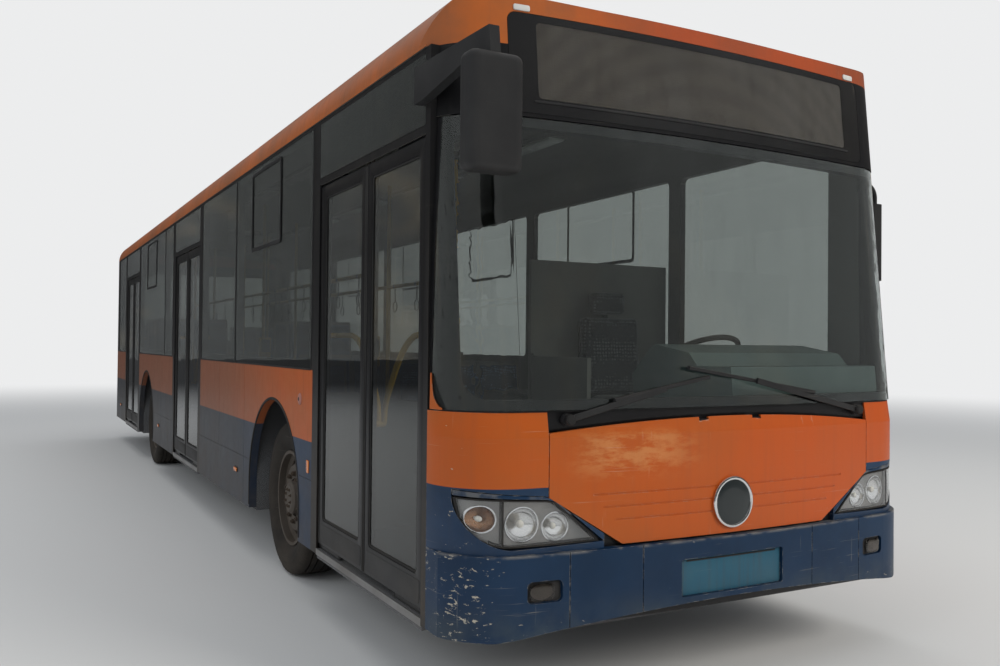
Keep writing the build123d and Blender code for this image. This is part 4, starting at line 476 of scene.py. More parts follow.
@dataclass(frozen=True)
class Livery(Finish):
    """Panel paint in bands of colour by height, dull on faces that look into the bus."""

    colour: Colour = ORANGE
    tone: Colour = ORANGE_FADED
    rough: float = 0.42
    coat: float = 0.12
    runs: float = 0.1
    split: float = TWO_TONE_Z
    band_low: float = BELT_Z
    roof_low: float = 2.836
    portals: bool = False
    dark_x: float = BEYOND
    scuffed: bool = False

    def chip_amount(self, nodes: Nodes) -> float | Socket:
        """More chips low down and at the door-side front corner."""
        x, y, z = nodes.axes(nodes.place())
        ahead = nodes.step(y, FRONT_Y + 0.5, FRONT_Y + 0.2)
        corner = nodes.times(nodes.step(x, -1.05, -1.26), ahead, 0.55)
        low = nodes.times(nodes.step(z, 1.0, 0.45), 0.3)
        return nodes.plus(self.chips, nodes.most(corner, low))

    @staticmethod
    def scuff(nodes: Nodes, orange: Socket) -> Socket:
        """Orange with a pale rubbed patch on the flap's door side."""
        place = nodes.place()
        x, _, z = nodes.axes(place)
        wide = nodes.times(nodes.step(x, -0.88, -0.62), nodes.step(x, -0.1, -0.42))
        tall = nodes.times(nodes.step(z, 0.9, 1.0), nodes.step(z, 1.14, 1.08))
        rubs = nodes.noise(nodes.stretch(place, (3.0, 3.0, 9.0), (0, 0.3, 0)), 2.2, 8.0, 0.72)
        rub = nodes.times(wide, tall, nodes.step(rubs, 0.42, 0.62), 0.55)
        return nodes.mix(rub, orange, (0.56, 0.25, 0.085))

    @staticmethod
    def inward(nodes: Nodes) -> Socket:
        """1 on faces behind the nose and ahead of the tail that look into the bus."""
        x, y, z = nodes.axes(nodes.place())
        normal_x, _, normal_z = nodes.axes(nodes.normal())
        above = nodes.math("SUBTRACT", z, 1.6)
        outward = nodes.plus(nodes.times(normal_x, x), nodes.times(normal_z, above))
        tail = nodes.math("LESS_THAN", y, TAIL_Y - 0.02)
        nose = nodes.math("GREATER_THAN", y, FRONT_Y + 0.3)
        return nodes.times(nodes.step(outward, -0.02, -0.2), tail, nose)

    def base(self, nodes: Nodes) -> tuple:
        """Colour by height and by which way the face looks, with painted shade that darkens the
        sides from about 1.9 m behind the front, and painted warm light that makes the road side
        redder and brighter.
        """
        place = nodes.place()
        x, y, z = nodes.axes(place)
        cloud = nodes.step(nodes.noise(place, 1.9, 7.0, 0.62), 0.32, 0.7)
        # Painted shade: from 1.9 m to 4.5 m behind the front the sides turn browner and greyer, as
        # if they lay in shade
        far_blend = nodes.times(nodes.step(y, FRONT_Y + 1.9, FRONT_Y + 4.5), 0.72)
        orange = nodes.mix(cloud, self.colour, self.tone)
        # Painted warm light: the road side is painted redder and brighter, as if sunlight fell on
        # it
        across = nodes.times(nodes.step(x, -0.9, 1.1), 0.55)
        orange = nodes.mix(across, orange, (0.50, 0.072, 0.012))
        orange = nodes.mix(far_blend, orange, (0.145, 0.068, 0.04))
        if self.scuffed:
            orange = self.scuff(nodes, orange)
        blue = nodes.mix(cloud, BLUE, scaled(BLUE, 1.5, 0.008))
        # Painted shade on the blue further back, as on the orange
        blue = nodes.mix(far_blend, blue, (0.032, 0.031, 0.03))
        colour = nodes.mix(nodes.step(z, self.split - SHARP, self.split + SHARP), blue, orange)
        below_cant = nodes.step(z, CANT_Z + SHARP, CANT_Z)
        dark = nodes.times(nodes.step(z, self.band_low - SHARP, self.band_low), below_cant)
        for _, middle, width in DOORWAYS if self.portals else ():
            away = nodes.math("ABSOLUTE", nodes.math("SUBTRACT", y, at(middle)))
            portal = nodes.step(away, width / 2 + PORTAL_RIM + 0.002, width / 2 + PORTAL_RIM)
            dark = nodes.most(dark, nodes.times(portal, below_cant, nodes.step(x, -0.5, -0.6)))
        colour = nodes.mix(dark, colour, BLACK)
        reddish = nodes.mix(cloud, (0.34, 0.058, 0.014), (0.22, 0.055, 0.022))
        warmer = nodes.mix(cloud, (0.42, 0.1, 0.014), (0.26, 0.082, 0.026))
        edge = nodes.mix(nodes.step(x, -1.0, -0.1), warmer, reddish)
        colour = nodes.mix(nodes.step(z, CANT_Z - SHARP, CANT_Z), colour, edge)
        corner = nodes.step(x, self.dark_x - SHARP, self.dark_x)
        corner = nodes.times(corner, nodes.step(z, 2.8015, 2.8))
        colour = nodes.mix(corner, colour, BLACK)
        roof = nodes.mix(cloud, ROOF, scaled(ROOF, 0.7))
        colour = nodes.mix(nodes.step(z, self.roof_low, self.roof_low + 0.006), colour, roof)
        return nodes.mix(self.inward(nodes), colour, LINING), None


@dataclass(frozen=True)
class BumperPaint(Finish):
    """Blue bumper paint, scraped most at the door-side corner and the lower edge, with a paler top
    step that is partly wear and partly painted highlight.
    """

    def chip_amount(self, nodes: Nodes) -> Socket:
        """More scrapes towards the door-side corner and the edges."""
        x, _, z = nodes.axes(nodes.place())
        corner = nodes.times(nodes.step(x, -0.92, -1.2), 0.78)
        centre = nodes.times(nodes.step(x, -0.5, -0.35), nodes.step(x, -0.05, -0.25), 0.4)
        low = nodes.times(nodes.step(z, 0.45, 0.36), 0.6)
        return nodes.plus(self.chips, nodes.most(corner, centre, low))

    def base(self, nodes: Nodes) -> tuple:
        """Blue with a paler top step, partly rubbed wear and partly painted highlight, and grime
        below.
        """
        colour, height = super().base(nodes)
        place = nodes.place()
        z = nodes.axes(place)[2]
        # Paler top step: partly rubbed wear, partly a painted highlight where the light catches the
        # upper face
        rubbed = nodes.step(nodes.noise(place, 9.0, 6.0), 0.42, 0.6)
        ledge_wear_and_highlight = nodes.times(nodes.step(z, 0.642, 0.652), rubbed, 0.5)
        colour = nodes.mix(ledge_wear_and_highlight, colour, (0.2, 0.19, 0.17))
        grime = nodes.step(nodes.noise(place, 6.0, 7.0), 0.35, 0.65)
        grime = nodes.times(nodes.step(z, 0.5, 0.34), grime, 0.4)
        return nodes.mix(grime, colour, (0.06, 0.075, 0.075)), height


@dataclass(frozen=True)
class Glass:
    """Clear or tinted glass that lets light through to what is behind it."""

    name: str
    tint: Colour
    rough: float = 0.0
    film: float = 0.1
    gloss: float = 0.5

    def build(self) -> bpy.types.Material:
        """Make the material."""
        material, nodes = Nodes.material(self.name)
        place = nodes.place()
        runs = nodes.stretch(place, (6.0, 6.0, 1.2))
        haze = nodes.step(nodes.noise(runs, 2.0, 6.0, 0.65), 0.4, 0.8)
        film = nodes.times(haze, self.film)
        bump = {"Height": nodes.noise(place, 1.6, 2.0), "Strength": 0.05, "Distance": 0.01}
        shader = nodes.new("BsdfPrincipled", {
            "Base Color": nodes.mix(film, self.tint, scaled(self.tint, 0.72)),
            "Roughness": nodes.plus(self.rough, nodes.times(film, 0.05), clamp=True),
            "IOR": 1.45, "Transmission Weight": 1.0, "Specular IOR Level": self.gloss,
            "Normal": nodes.new("Bump", bump).outputs[0],
        })
        clear = nodes.new("BsdfTransparent", {0: (*self.tint, 1.0)})
        ray = nodes.new("LightPath").outputs
        soft = nodes.most(ray["Is Shadow Ray"], ray["Is Diffuse Ray"])
        both = nodes.new("MixShader", {0: soft, 1: shader.outputs[0], 2: clear.outputs[0]})
        nodes.new("OutputMaterial", {0: both.outputs[0]})
        return material


def grained(name: str, colour: Colour, tone: Colour, rough: float, **more) -> Finish:
    """A grained finish."""
    return Finish(name, colour, tone, rough, pattern=Pattern.GRAINED, **more)


def cloth(name: str, colour: Colour, tone: Colour, rough: float, sheen: float) -> Finish:
    """A woven finish."""
    return Finish(
        name, colour, tone, rough, sheen=sheen, dust=0.08, scratches=0, pattern=Pattern.WOVEN,
        relief=0.5,
    )


def lens(name: str, colour: Colour, tone: Colour, rough: float = 0.18) -> Finish:
    """A coloured lens or a white one."""
    return Finish(name, colour, tone, rough, coat=0.6, dust=0.2)


FINISHES = {
    "livery": Livery(
        "livery_paint", dust=0.7, height=1.5, runs=0.25, chips=0.02, scratches=0.1, portals=True,
    ),
    "livery_dome": Livery(
        "dome_paint", dust=0.2, chips=0.02, split=-1.0, band_low=0.0, roof_low=BEYOND, dark_x=0.95,
    ),
    "livery_flap": Livery(
        "flap_paint", dust=0.1, wear=0.4, chips=0.12, scratches=0.3, split=-1.0, band_low=BEYOND,
        scuffed=True,
    ),
    "livery_corner": Livery(
        "corner_paint", dust=0.2, wear=0.5, chips=0.12, scratches=0.3, split=0.908, band_low=BEYOND,
    ),
    "blue": BumperPaint(
        "bumper_paint", BLUE, (0.004, 0.026, 0.068), 0.42, coat=0.05, dust=0.16, height=0.8,
        wear=0.8, chips=0.12, grit=26.0, scratches=0.45, bare=(0.42, 0.38, 0.31),
    ),
    "plate_blue": Finish(
        "plate_recess_paint", (0.016, 0.085, 0.135), (0.03, 0.11, 0.155), 0.5, coat=0.1, dust=0.35,
        height=0.9, runs=0.55, chips=0.3, scratches=0.5, bare=(0.2, 0.24, 0.25),
    ),
    "black_paint": Finish(
        "black_paint", BLACK, (0.009, 0.009, 0.01), 0.32, coat=0.1, dust=0.12, wear=0.3,
        bare=(0.12, 0.11, 0.10),
    ),
    "sign_black": Finish(
        "sign_surround_paint", (0.008, 0.008, 0.009), (0.012,) * 3, 0.16, coat=0.6, dust=0.08,
    ),
    "badge_face": Finish(
        "badge_face", (0.012, 0.018, 0.02), (0.02, 0.026, 0.028), 0.32, coat=0.4, dust=0.15,
    ),
    "amber_bowl": Finish(
        "amber_reflector", (0.42, 0.22, 0.11), (0.3, 0.16, 0.09), 0.2, metal=0.85, dust=0.1,
        scratches=0,
    ),
    "kick": grained(
        "kick_panel", (0.03, 0.03, 0.031), (0.045, 0.044, 0.043), 0.55, dust=0.5, height=0.7,
        scratches=0.4, bare=(0.12, 0.11, 0.1),
    ),
    "boss": Finish("release_knob", (0.36, 0.15, 0.12), (0.3, 0.14, 0.11), 0.45, dust=0.3),
    "mirror": Finish(
        "mirror_glass", (0.8, 0.82, 0.83), (0.76, 0.78, 0.8), 0.03, metal=1.0, dust=0.1,
        scratches=0,
    ),
    "black_plastic": grained("black_plastic", (0.016, 0.016, 0.017), (0.028,) * 3, 0.5, dust=0.3),
    "rubber": grained(
        "seal_rubber", (0.014,) * 3, (0.026, 0.025, 0.024), 0.68, dust=0.35, pitch=900.0,
    ),
    "tyre": grained(
        "tyre_rubber", (0.011, 0.0105, 0.01), (0.024, 0.021, 0.018), 0.8, dust=0.4, pitch=520.0,
    ),
    "wheel": Finish(
        "wheel_steel", (0.105, 0.092, 0.08), (0.07, 0.058, 0.047), 0.55, metal=0.25, dust=0.7,
        height=1.4, wear=0.5, chips=0.25, bare=(0.13, 0.06, 0.03),
    ),
    "hub": Finish(
        "hub_iron", (0.10, 0.075, 0.055), (0.05, 0.04, 0.035), 0.62, metal=0.4, dust=0.6,
        height=1.4, chips=0.4, bare=(0.15, 0.07, 0.035),
    ),
    "dash": grained("dash_plastic", (0.12, 0.15, 0.148), (0.09, 0.112, 0.11), 0.6, dust=0.3),
    "lining": grained(
        "lining_panel", (0.2, 0.195, 0.18), (0.165, 0.16, 0.15), 0.55, dust=0.12, pitch=600.0,
    ),
    "shell": grained(
        "seat_shell", (0.15, 0.16, 0.175), (0.19, 0.2, 0.215), 0.38, coat=0.15, dust=0.12,
        pitch=500.0,
    ),
    "hatch": grained(
        "hatch_plastic", (0.5, 0.49, 0.45), (0.36, 0.34, 0.3), 0.45, dust=0.6, runs=0.5,
    ),
    "moquette": cloth("seat_moquette", (0.03, 0.06, 0.14), (0.06, 0.11, 0.2), 0.92, 0.4),
    "driver_cloth": cloth("driver_cloth", (0.02, 0.021, 0.025), (0.045, 0.046, 0.05), 0.94, 0.35),
    "floor": Finish(
        "floor_covering", (0.075, 0.078, 0.082), (0.1, 0.1, 0.1), 0.7, dust=0.3,
        pattern=Pattern.SPECKLED,
    ),
    "aluminium": Finish(
        "brushed_aluminium", (0.42, 0.42, 0.42), (0.32, 0.31, 0.3), 0.38, metal=1.0, dust=0.4,
        wear=0.3, pattern=Pattern.BRUSHED,
    ),
    "chrome": Finish(
        "chrome", (0.78, 0.79, 0.8), (0.66, 0.66, 0.67), 0.12, metal=1.0, dust=0.12, scratches=0.3,
    ),
    "reflector": Finish(
        "lamp_reflector", (0.82,) * 3, (0.7,) * 3, 0.1, metal=1.0, dust=0.1, scratches=0,
    ),
    "bezel": Finish("lamp_bezel", (0.2, 0.2, 0.2), (0.26, 0.25, 0.24), 0.3, metal=0.6, dust=0.2),
    "yellow": Finish(
        "yellow_rail", (0.72, 0.42, 0.02), (0.62, 0.34, 0.015), 0.36, coat=0.4, dust=0.06,
        wear=0.25, bare=(0.4, 0.38, 0.34),
    ),
    "chassis": Finish(
        "chassis_paint", (0.028, 0.027, 0.026), (0.05, 0.045, 0.038), 0.7, dust=0.8, height=1.6,
    ),
    "iron": Finish(
        "engine_iron", (0.09, 0.085, 0.08), (0.05, 0.045, 0.04), 0.6, metal=0.5, dust=0.6,
    ),
    "matrix": Finish(
        "sign_display", (0.034, 0.03, 0.025), (0.048, 0.042, 0.035), 0.55, dust=0.1,
        pattern=Pattern.MATRIX, pitch=90.0, bare=(0.11, 0.098, 0.082),
    ),
    "amber": lens("amber_lens", (0.75, 0.2, 0.02), (0.6, 0.15, 0.015)),
    "red": lens("red_lens", (0.4, 0.012, 0.01), (0.3, 0.01, 0.008)),
    "white": lens("white_lens", (0.62, 0.62, 0.6), (0.5, 0.5, 0.48), 0.2),
    "bulb": Finish(
        "bulb_glass", (0.7, 0.68, 0.62), (0.6, 0.56, 0.5), 0.15, coat=0.5, dust=0.0, scratches=0,
    ),
    "clear": Glass("clear_glass", (0.72, 0.76, 0.745)),
    "tinted": Glass("tinted_glass", (0.26, 0.28, 0.27), film=0.3, gloss=0.3),
    "door_glass": Glass("door_glass", (0.36, 0.38, 0.37), film=0.4, gloss=0.3),
    "smoked": Glass("smoked_lens", (0.5, 0.46, 0.42), 0.12, 0.6),
    "lens": Glass("lamp_lens", (0.93, 0.94, 0.94), 0.02, 0.2),
    "sign_pane": Glass("sign_pane", (0.8, 0.79, 0.76), 0.02, 0.5),
}

# The record's material slot of a finish, where it is not black_plastic
SLOTS = {
    finish: slot
    for slot, finishes in {
        "lamp_lens": "bezel amber_bowl reflector chrome bulb lens smoked white amber red",
        "blue_paint": "blue plate_blue", "sign_glass": "matrix sign_pane",
        "glass": "mirror door_glass", "orange_paint": "livery livery_corner boss",
        "door_frame": "black_paint", "cast_iron": "hub", "yellow_paint": "yellow", "tyre": "tyre",
        "seat_fabric": "moquette", "driver_fabric": "driver_cloth", "grey_panel": "lining",
    }.items()
    for finish in finishes.split()
}

# The finish of a CAD node, where it is not black_paint
NODE_FINISH = {
    node: finish
    for finish, nodes in {
        "chassis": "axles knuckle_door knuckle_road underframe",
        "lining": "cab_door cab_partition door_headers engine_cover",
        "floor": "cab_floor floor_deck wheel_boxes",
        "livery": "engine_lid rear_body roof side_wall_door side_wall_road",
        "livery_corner": "front_corners", "livery_dome": "front_dome", "livery_flap": "front_flap",
        "blue": "front_bumper rear_bumper", "black_plastic": "mirrors steering_wheel wipers",
        "tyre": "tyre_front_door tyre_front_road tyres_rear_door tyres_rear_road",
        "wheel": "rim_front_door rim_front_road rims_rear_door rims_rear_road", "dash": "dashboard",
        "aluminium": "door_sills", "driver_cloth": "driver_seat", "iron": "engine_block",
        "yellow": "handrails", "lens": "lamps", "shell": "passenger_seats",
        "moquette": "seat_cushions", "hatch": "roof_hatch_front roof_hatch_rear",
        "tinted": "window_glass", "clear": "windscreen",
    }.items()
    for node in nodes.split()
}


class Mesh:
    """A mesh under construction with bmesh operators, most of which return it for the next."""

    def __init__(self) -> None:
        """Start empty."""
        self.bm = bmesh.new()

    def data(self, name: str) -> bpy.types.Mesh:
        """Its Blender mesh, which ends its construction."""
        made = bpy.data.meshes.new(name)
        self.bm.to_mesh(made)
        self.bm.free()
        return made

    def everything(self) -> list:
        """All its corners, edges and faces."""
        return [*self.bm.verts, *self.bm.edges, *self.bm.faces]

    @staticmethod
    def only(kind: type, geom: list) -> list:
        """What is of one kind among some geometry."""
        return [each for each in geom if isinstance(each, kind)]

    def bevel(self, edges: list, size: float, segments: int) -> None:
        """Round some edges."""
        bmesh.ops.bevel(
            self.bm, geom=edges, offset=size, offset_type="OFFSET", segments=segments,
            profile=0.5, affect="EDGES", clamp_overlap=True, material=-1,
        )

    def cut(self, place: tuple, normal: tuple) -> None:
        """Cut all faces along a plane."""
        geom = self.everything()
        bmesh.ops.bisect_plane(self.bm, geom=geom, dist=1e-5, plane_co=place, plane_no=normal)

    def round_off(self, verts: list, edge: float, segments: int = 2) -> "Mesh":
        """Bevel all sharp edges between some vertices."""
        if edge:
            inside = set(verts)
            faces = list({f for v in verts for f in v.link_faces})
            bmesh.ops.recalc_face_normals(self.bm, faces=faces)
            edges = [e for e in {e for v in verts for e in v.link_edges} if set(e.verts) <= inside]
            sharp = [e for e in edges if e.is_manifold and e.calc_face_angle() > SHARP_ANGLE]
            self.bevel(sharp, edge, segments)
        return self

    def box(self, low: tuple, high: tuple, edge: float = 0.0, segments: int = 2) -> "Mesh":
        """Block between two corners, its edges rounded."""
        low, high = Vector(low), Vector(high)
        place = Matrix.Translation((low + high) / 2) @ Matrix.Diagonal((*(high - low), 1.0))
        made = bmesh.ops.create_cube(self.bm, size=1.0, matrix=place)
        return self.round_off(made["verts"], edge, segments)

    def plate(self, loops: list[list[tuple]], thick: tuple, edge: float = 0.0) -> "Mesh":
        """Flat plate.

        Args:
            loops: the corners of its outline, then those of each opening.
            thick: vector from its first face to its second.
            edge: radius along its edges.

        Returns:
            This mesh.
        """
        verts = [[self.bm.verts.new(point) for point in loop] for loop in loops]
        if len(loops) > 1:
            pairs = [(loop[index - 1], loop[index]) for loop in verts for index in range(len(loop))]
            edges = [self.bm.edges.new(pair) for pair in pairs]
            made = bmesh.ops.triangle_fill(
                self.bm, use_beauty=True, use_dissolve=False, edges=edges,
            )
            faces = self.only(bmesh.types.BMFace, made["geom"])
        else:
            faces = [self.bm.faces.new(verts[0])]
        start = list({v for f in faces for v in f.verts})
        made = bmesh.ops.extrude_face_region(self.bm, geom=faces, use_keep_orig=True)
        moved = self.only(bmesh.types.BMVert, made["geom"])
        bmesh.ops.translate(self.bm, verts=moved, vec=Vector(thick))
        return self.round_off(start + moved, edge)

    def across(
        self, outline: list, y: float, depth: float, edge: float = 0.0, holes: list = (),
    ) -> "Mesh":
        """Plate set up across the bus, from points in X and Z."""
        loops = [[(u, y, v) for u, v in loop] for loop in (outline, *holes)]
        return self.plate(loops, (0, depth, 0), edge)

    def along(
        self, outline: list, x: float, depth: float, edge: float = 0.0, holes: list = (),
    ) -> "Mesh":
        """Plate set up along the bus, from points in Y and Z."""
        loops = [[(x, u, v) for u, v in loop] for loop in (outline, *holes)]
        return self.plate(loops, (depth, 0, 0), edge)

    def disc(
        self, centre: tuple, axis: tuple, radius: float, depth: float, sides: int, edge: float,
    ) -> "Mesh":
        """Round or many-sided bar about an axis.

        Args:
            centre: middle of the bar.
            axis: direction of its length.
            radius: its radius.
            depth: its length.
            sides: number of its sides.
            edge: radius along the edges of its ends.

        Returns:
            This mesh.
        """
        turn = Vector((0, 0, 1)).rotation_difference(Vector(axis)).to_matrix().to_4x4()
        made = bmesh.ops.create_cone(
            self.bm, cap_ends=True, segments=sides, radius1=radius, radius2=radius,
            depth=depth, matrix=Matrix.Translation(centre) @ turn,
        )
        edges = {e for v in made["verts"] for e in v.link_edges}
        rims = [e for e in edges if any(len(f.verts) > 4 for f in e.link_faces)]
        self.bevel(rims, edge, 2)
        return self

    def turned(
        self, profile: list[tuple], centre: tuple, steps: int, closed: bool = False,
        axis: tuple = (0, 1, 0),
    ) -> "Mesh":
        """Turned shape about a level axis.

        Args:
            profile: pairs of distance along the axis and radius.
            centre: where distances start.
            steps: steps round the turn.
            closed: whether the profile's ends are joined.
            axis: unit direction of the axis.

        Returns:
            This mesh.
        """
        along, out = Vector(axis), Vector((0, 0, 1))
        verts = [self.bm.verts.new(Vector(centre) + along * s + out * r) for s, r in profile]
        pairs = list(zip(verts, verts[1:])) + ([(verts[-1], verts[0])] if closed else [])
        edges = [self.bm.edges.new(pair) for pair in pairs]
        bmesh.ops.spin(
            self.bm, geom=verts + edges, cent=Vector(centre), axis=along, dvec=(0, 0, 0),
            angle=2 * pi, steps=steps, use_merge=True,
        )
        return self

    def bend(self, cuts: int = BENDS, raked: bool = False) -> "Mesh":
        """Lay a shape drawn in X and Z, with Y from its face, onto the curved front.

        Args:
            cuts: how many upright cuts are made first, so that it can bend.
            raked: whether it follows the lean of the windscreen.

        Returns:
            This mesh.
        """
        for cut in range(1, cuts):
            self.cut((HALF_WIDTH * (2 * cut / cuts - 1), 0, 0), (1, 0, 0))
        for v in self.bm.verts:
            v.co.y += bow(v.co.x) + (lean(v.co.z) if raked else 0.0)
        return self

    def mirrored(self) -> "Mesh":
        """Add the same on the other side of the bus."""
        copy = bmesh.ops.duplicate(self.bm, geom=self.everything())["geom"]
        bmesh.ops.scale(self.bm, vec=(-1, 1, 1), verts=self.only(bmesh.types.BMVert, copy))
        bmesh.ops.reverse_faces(self.bm, faces=self.only(bmesh.types.BMFace, copy))
        return self


@dataclass
class Shop:
    """Turns finished meshes into pieces of the bus."""

    made: dict[str, bpy.types.Material] = field(default_factory=dict)
    count: int = 0

    def material(self, finish: str) -> bpy.types.Material:
        """The material of a finish, made when first asked for."""
        if finish not in self.made:
            self.made[finish] = FINISHES[finish].build()
        return self.made[finish]

    def dress_nodes(self) -> None:
        """Give every CAD node its procedural material."""
        for name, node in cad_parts.items():
            node.data.materials.clear()
            node.data.materials.append(self.material(NODE_FINISH.get(name, "black_paint")))

    def add(
        self, name: str, data: bpy.types.Mesh, finish: str, body: str = "body", slot: str = "",
        replaces: str = "", sharp: float = 35.0,
    ) -> bpy.types.Object:
        """Make the object of a piece and put it on its body.

        Args:
            name: the piece's name.
            data: its mesh in place.
            finish: the name of its finish.
            body: the body that it rides on.
            slot: the record's material slot, where it is not the finish's own; not used.
            replaces: the CAD node that it stands for, if any.
            sharp: angle in degrees past which an edge stays sharp.

        Returns:
            The object.
        """
        data.materials.clear()
        data.materials.append(self.material(finish))
        data.shade_smooth()
        data.set_sharp_from_angle(angle=radians(sharp))
        made = put(name, data)
        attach(made, body)
        if replaces:
            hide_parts(replaces)
        self.count += 1
        LOG.info("%s rides on %s, %d faces", made.name, body, len(made.data.polygons))
        return made

    def piece(self, name: str, mesh: Mesh, *args, **more) -> bpy.types.Object:
        """A piece from a mesh under construction; the rest is given as to add."""
        bmesh.ops.remove_doubles(mesh.bm, verts=mesh.bm.verts, dist=2e-5)
        bmesh.ops.recalc_face_normals(mesh.bm, faces=mesh.bm.faces)
        return self.add(name, mesh.data(name), *args, **more)

    def rail(self, name: str, points: list[tuple], radius: float, finish: str, body: str) -> None:
        """Round bar bent along points.

        Args:
            name: the piece's name.
            points: where the bar runs.
            radius: radius of the bar.
            finish: the name of its finish.
            body: the body that it rides on.
        """
        curve = bpy.data.curves.new(name, "CURVE")
        curve.dimensions = "3D"
        curve.bevel_depth = radius
        curve.bevel_resolution = 4
        curve.use_fill_caps = True
        spline = curve.splines.new("NURBS")
        spline.points.add(len(points) - 1)
        for point, place in zip(spline.points, points):
            point.co = (*place, 1.0)
        spline.order_u = 3
        spline.use_endpoint_u = True
        spline.resolution_u = 8
        holder = put(name, curve)
        bpy.context.view_layer.update()
        data = evaluated(holder)
        bpy.data.objects.remove(holder)
        bpy.data.curves.remove(curve)
        data.name = name
        self.add(name, data, finish, body, sharp=50)


@dataclass
class FrontLamps:
    """Headlamps in the front corners, fog lamps in the bumper and small lamps at the top."""

    shop: Shop
    lens: tuple = (
        (1.232, 0.872), (1.075, 0.866), (0.9, 0.856), (0.866, 0.848), (0.8, 0.797), (0.672, 0.686),
        (0.855, 0.683), (1.08, 0.684), (1.125, 0.694), (1.165, 0.716), (1.196, 0.748), (1.22, 0.8),
    )
    brow: tuple = (
        (1.234, 0.899), (0.913, 0.872), (0.874, 0.859), (0.80, 0.803), (0.792, 0.797),
        (0.806, 0.799), (0.869, 0.851), (0.901, 0.86), (1.075, 0.871), (1.233, 0.879),
    )
    # Middle, height, radius and finish of each bowl
    bowls: tuple = (
        (1.148, 0.79, 0.05, "amber_bowl"), (0.996, 0.767, 0.066, "reflector"),
        (0.856, 0.751, 0.055, "reflector"),
    )
    bar_x: float = 1.081
    bezel_y: float = 0.026
    glass_y: float = 0.004
    fog: tuple = (0.919, 0.512)
    clearance: tuple = ((0.909, 2.805), (0.981, 2.831))

    def build(self) -> None:
        """Make all the lamps of the front."""
        self.housings()
        self.reflectors()
        mesh = Mesh().across(self.shrunk(0.985, 0.975), self.glass_y, 0.003)
        self.add("headlamp_glasses", mesh, "lens")
        self.fog_lamps()
        mesh = Mesh().across(rounded(*self.clearance, 0.008), 0.004, -0.01, 0.003)
        self.shop.piece("clearance_lamps", mesh.mirrored().bend(raked=True), "white")

    def add(
        self, name: str, mesh: Mesh, finish: str, cuts: int = BENDS, node: str = "lamps",
    ) -> None:
        """Add a mesh on both sides, bent onto the front."""
        self.shop.piece(name, mesh.mirrored().bend(cuts), finish, replaces=node)

    def shrunk(self, wide: float, tall: float) -> list[tuple]:
        """Outline of the headlamp, shrunk by two factors."""
        return [(1.095 + (x - 1.095) * wide, 0.775 + (z - 0.775) * tall) for x, z in self.lens]

    def housings(self) -> None:
        """Bezel with openings for the bowls, the seal, the upright bar and the painted brow."""
        holes = [circle((x, z), r) for x, z, r, _ in self.bowls]
        mesh = Mesh().across(self.lens, self.bezel_y, 0.002, holes=holes)
        self.add("headlamp_bezels", mesh, "bezel")
        mesh = Mesh().across(self.lens, 0.002, 0.026, holes=[self.shrunk(0.965, 0.94)])
        mesh.box((self.bar_x - 0.003, 0.003, 0.684), (self.bar_x + 0.003, 0.028, 0.868))
        self.add("headlamp_seals", mesh, "rubber")
        self.add("headlamp_brows", Mesh().across(self.brow, 0.001, 0.008, 0.0012), "blue", node="")

    def reflectors(self) -> None:
        """Bowls with their rims and bulbs."""
        bowl = ((0.0, 1.0), (0.01, 0.985), (0.024, 0.86), (0.036, 0.6), (0.042, 0.3), (0.043, 0.0))
        ring = (
            (0.0, 0.005), (-0.003, 0.0035), (-0.004, 0.0), (-0.002, -0.002), (0.002, -0.001),
            (0.003, 0.004),
        )
        bulb = (
            (0.0, 0.0), (0.001, 0.1), (0.005, 0.2), (0.012, 0.24), (0.02, 0.2), (0.034, 0.12),
            (0.04, 0.12),
        )
        meshes = {"amber_bowl": Mesh(), "reflector": Mesh(), "chrome": Mesh(), "bulb": Mesh()}
        for x, z, r, finish in self.bowls:
            centre, foot = (x, self.bezel_y, z), (x, self.bezel_y + 0.004, z)
            meshes[finish].turned([(s, r * part) for s, part in bowl], centre, 48)
            meshes["chrome"].turned([(s, r + more) for s, more in ring], centre, 48, True)
            meshes["bulb"].turned([(s, r * part) for s, part in bulb], foot, 24)
        names = ("amber_bowls", "reflectors", "rims", "bulbs")
        for name, (finish, mesh) in zip(names, meshes.items()):
            self.add(f"headlamp_{name}", mesh, finish, 0)

    def fog_lamps(self) -> None:
        """Fog lamps on the floor of their pockets."""
        x, z = self.fog
        back = rounded(*around(x, z, 0.072, 0.039), 0.018)
        self.add("fog_lamp_backs", Mesh().across(back, -0.0045, -0.002, 0.0006), "black_plastic")
        middle = x + 0.012
        bowl = [(0.0, 0.03), (0.003, 0.026), (0.005, 0.016), (0.0055, 0.0)]
        mesh = Mesh().turned(bowl, (middle, -0.0125, z), 40)
        for v in mesh.bm.verts:
            v.co.x = middle + (v.co.x - middle) * 1.55
        self.add("fog_lamp_reflectors", mesh, "bezel", 0)
        glass = rounded((x - 0.042, z - 0.034), (x + 0.064, z + 0.032), 0.022)
        self.add("fog_lamp_glasses", Mesh().across(glass, -0.013, -0.0035, 0.0014), "smoked")


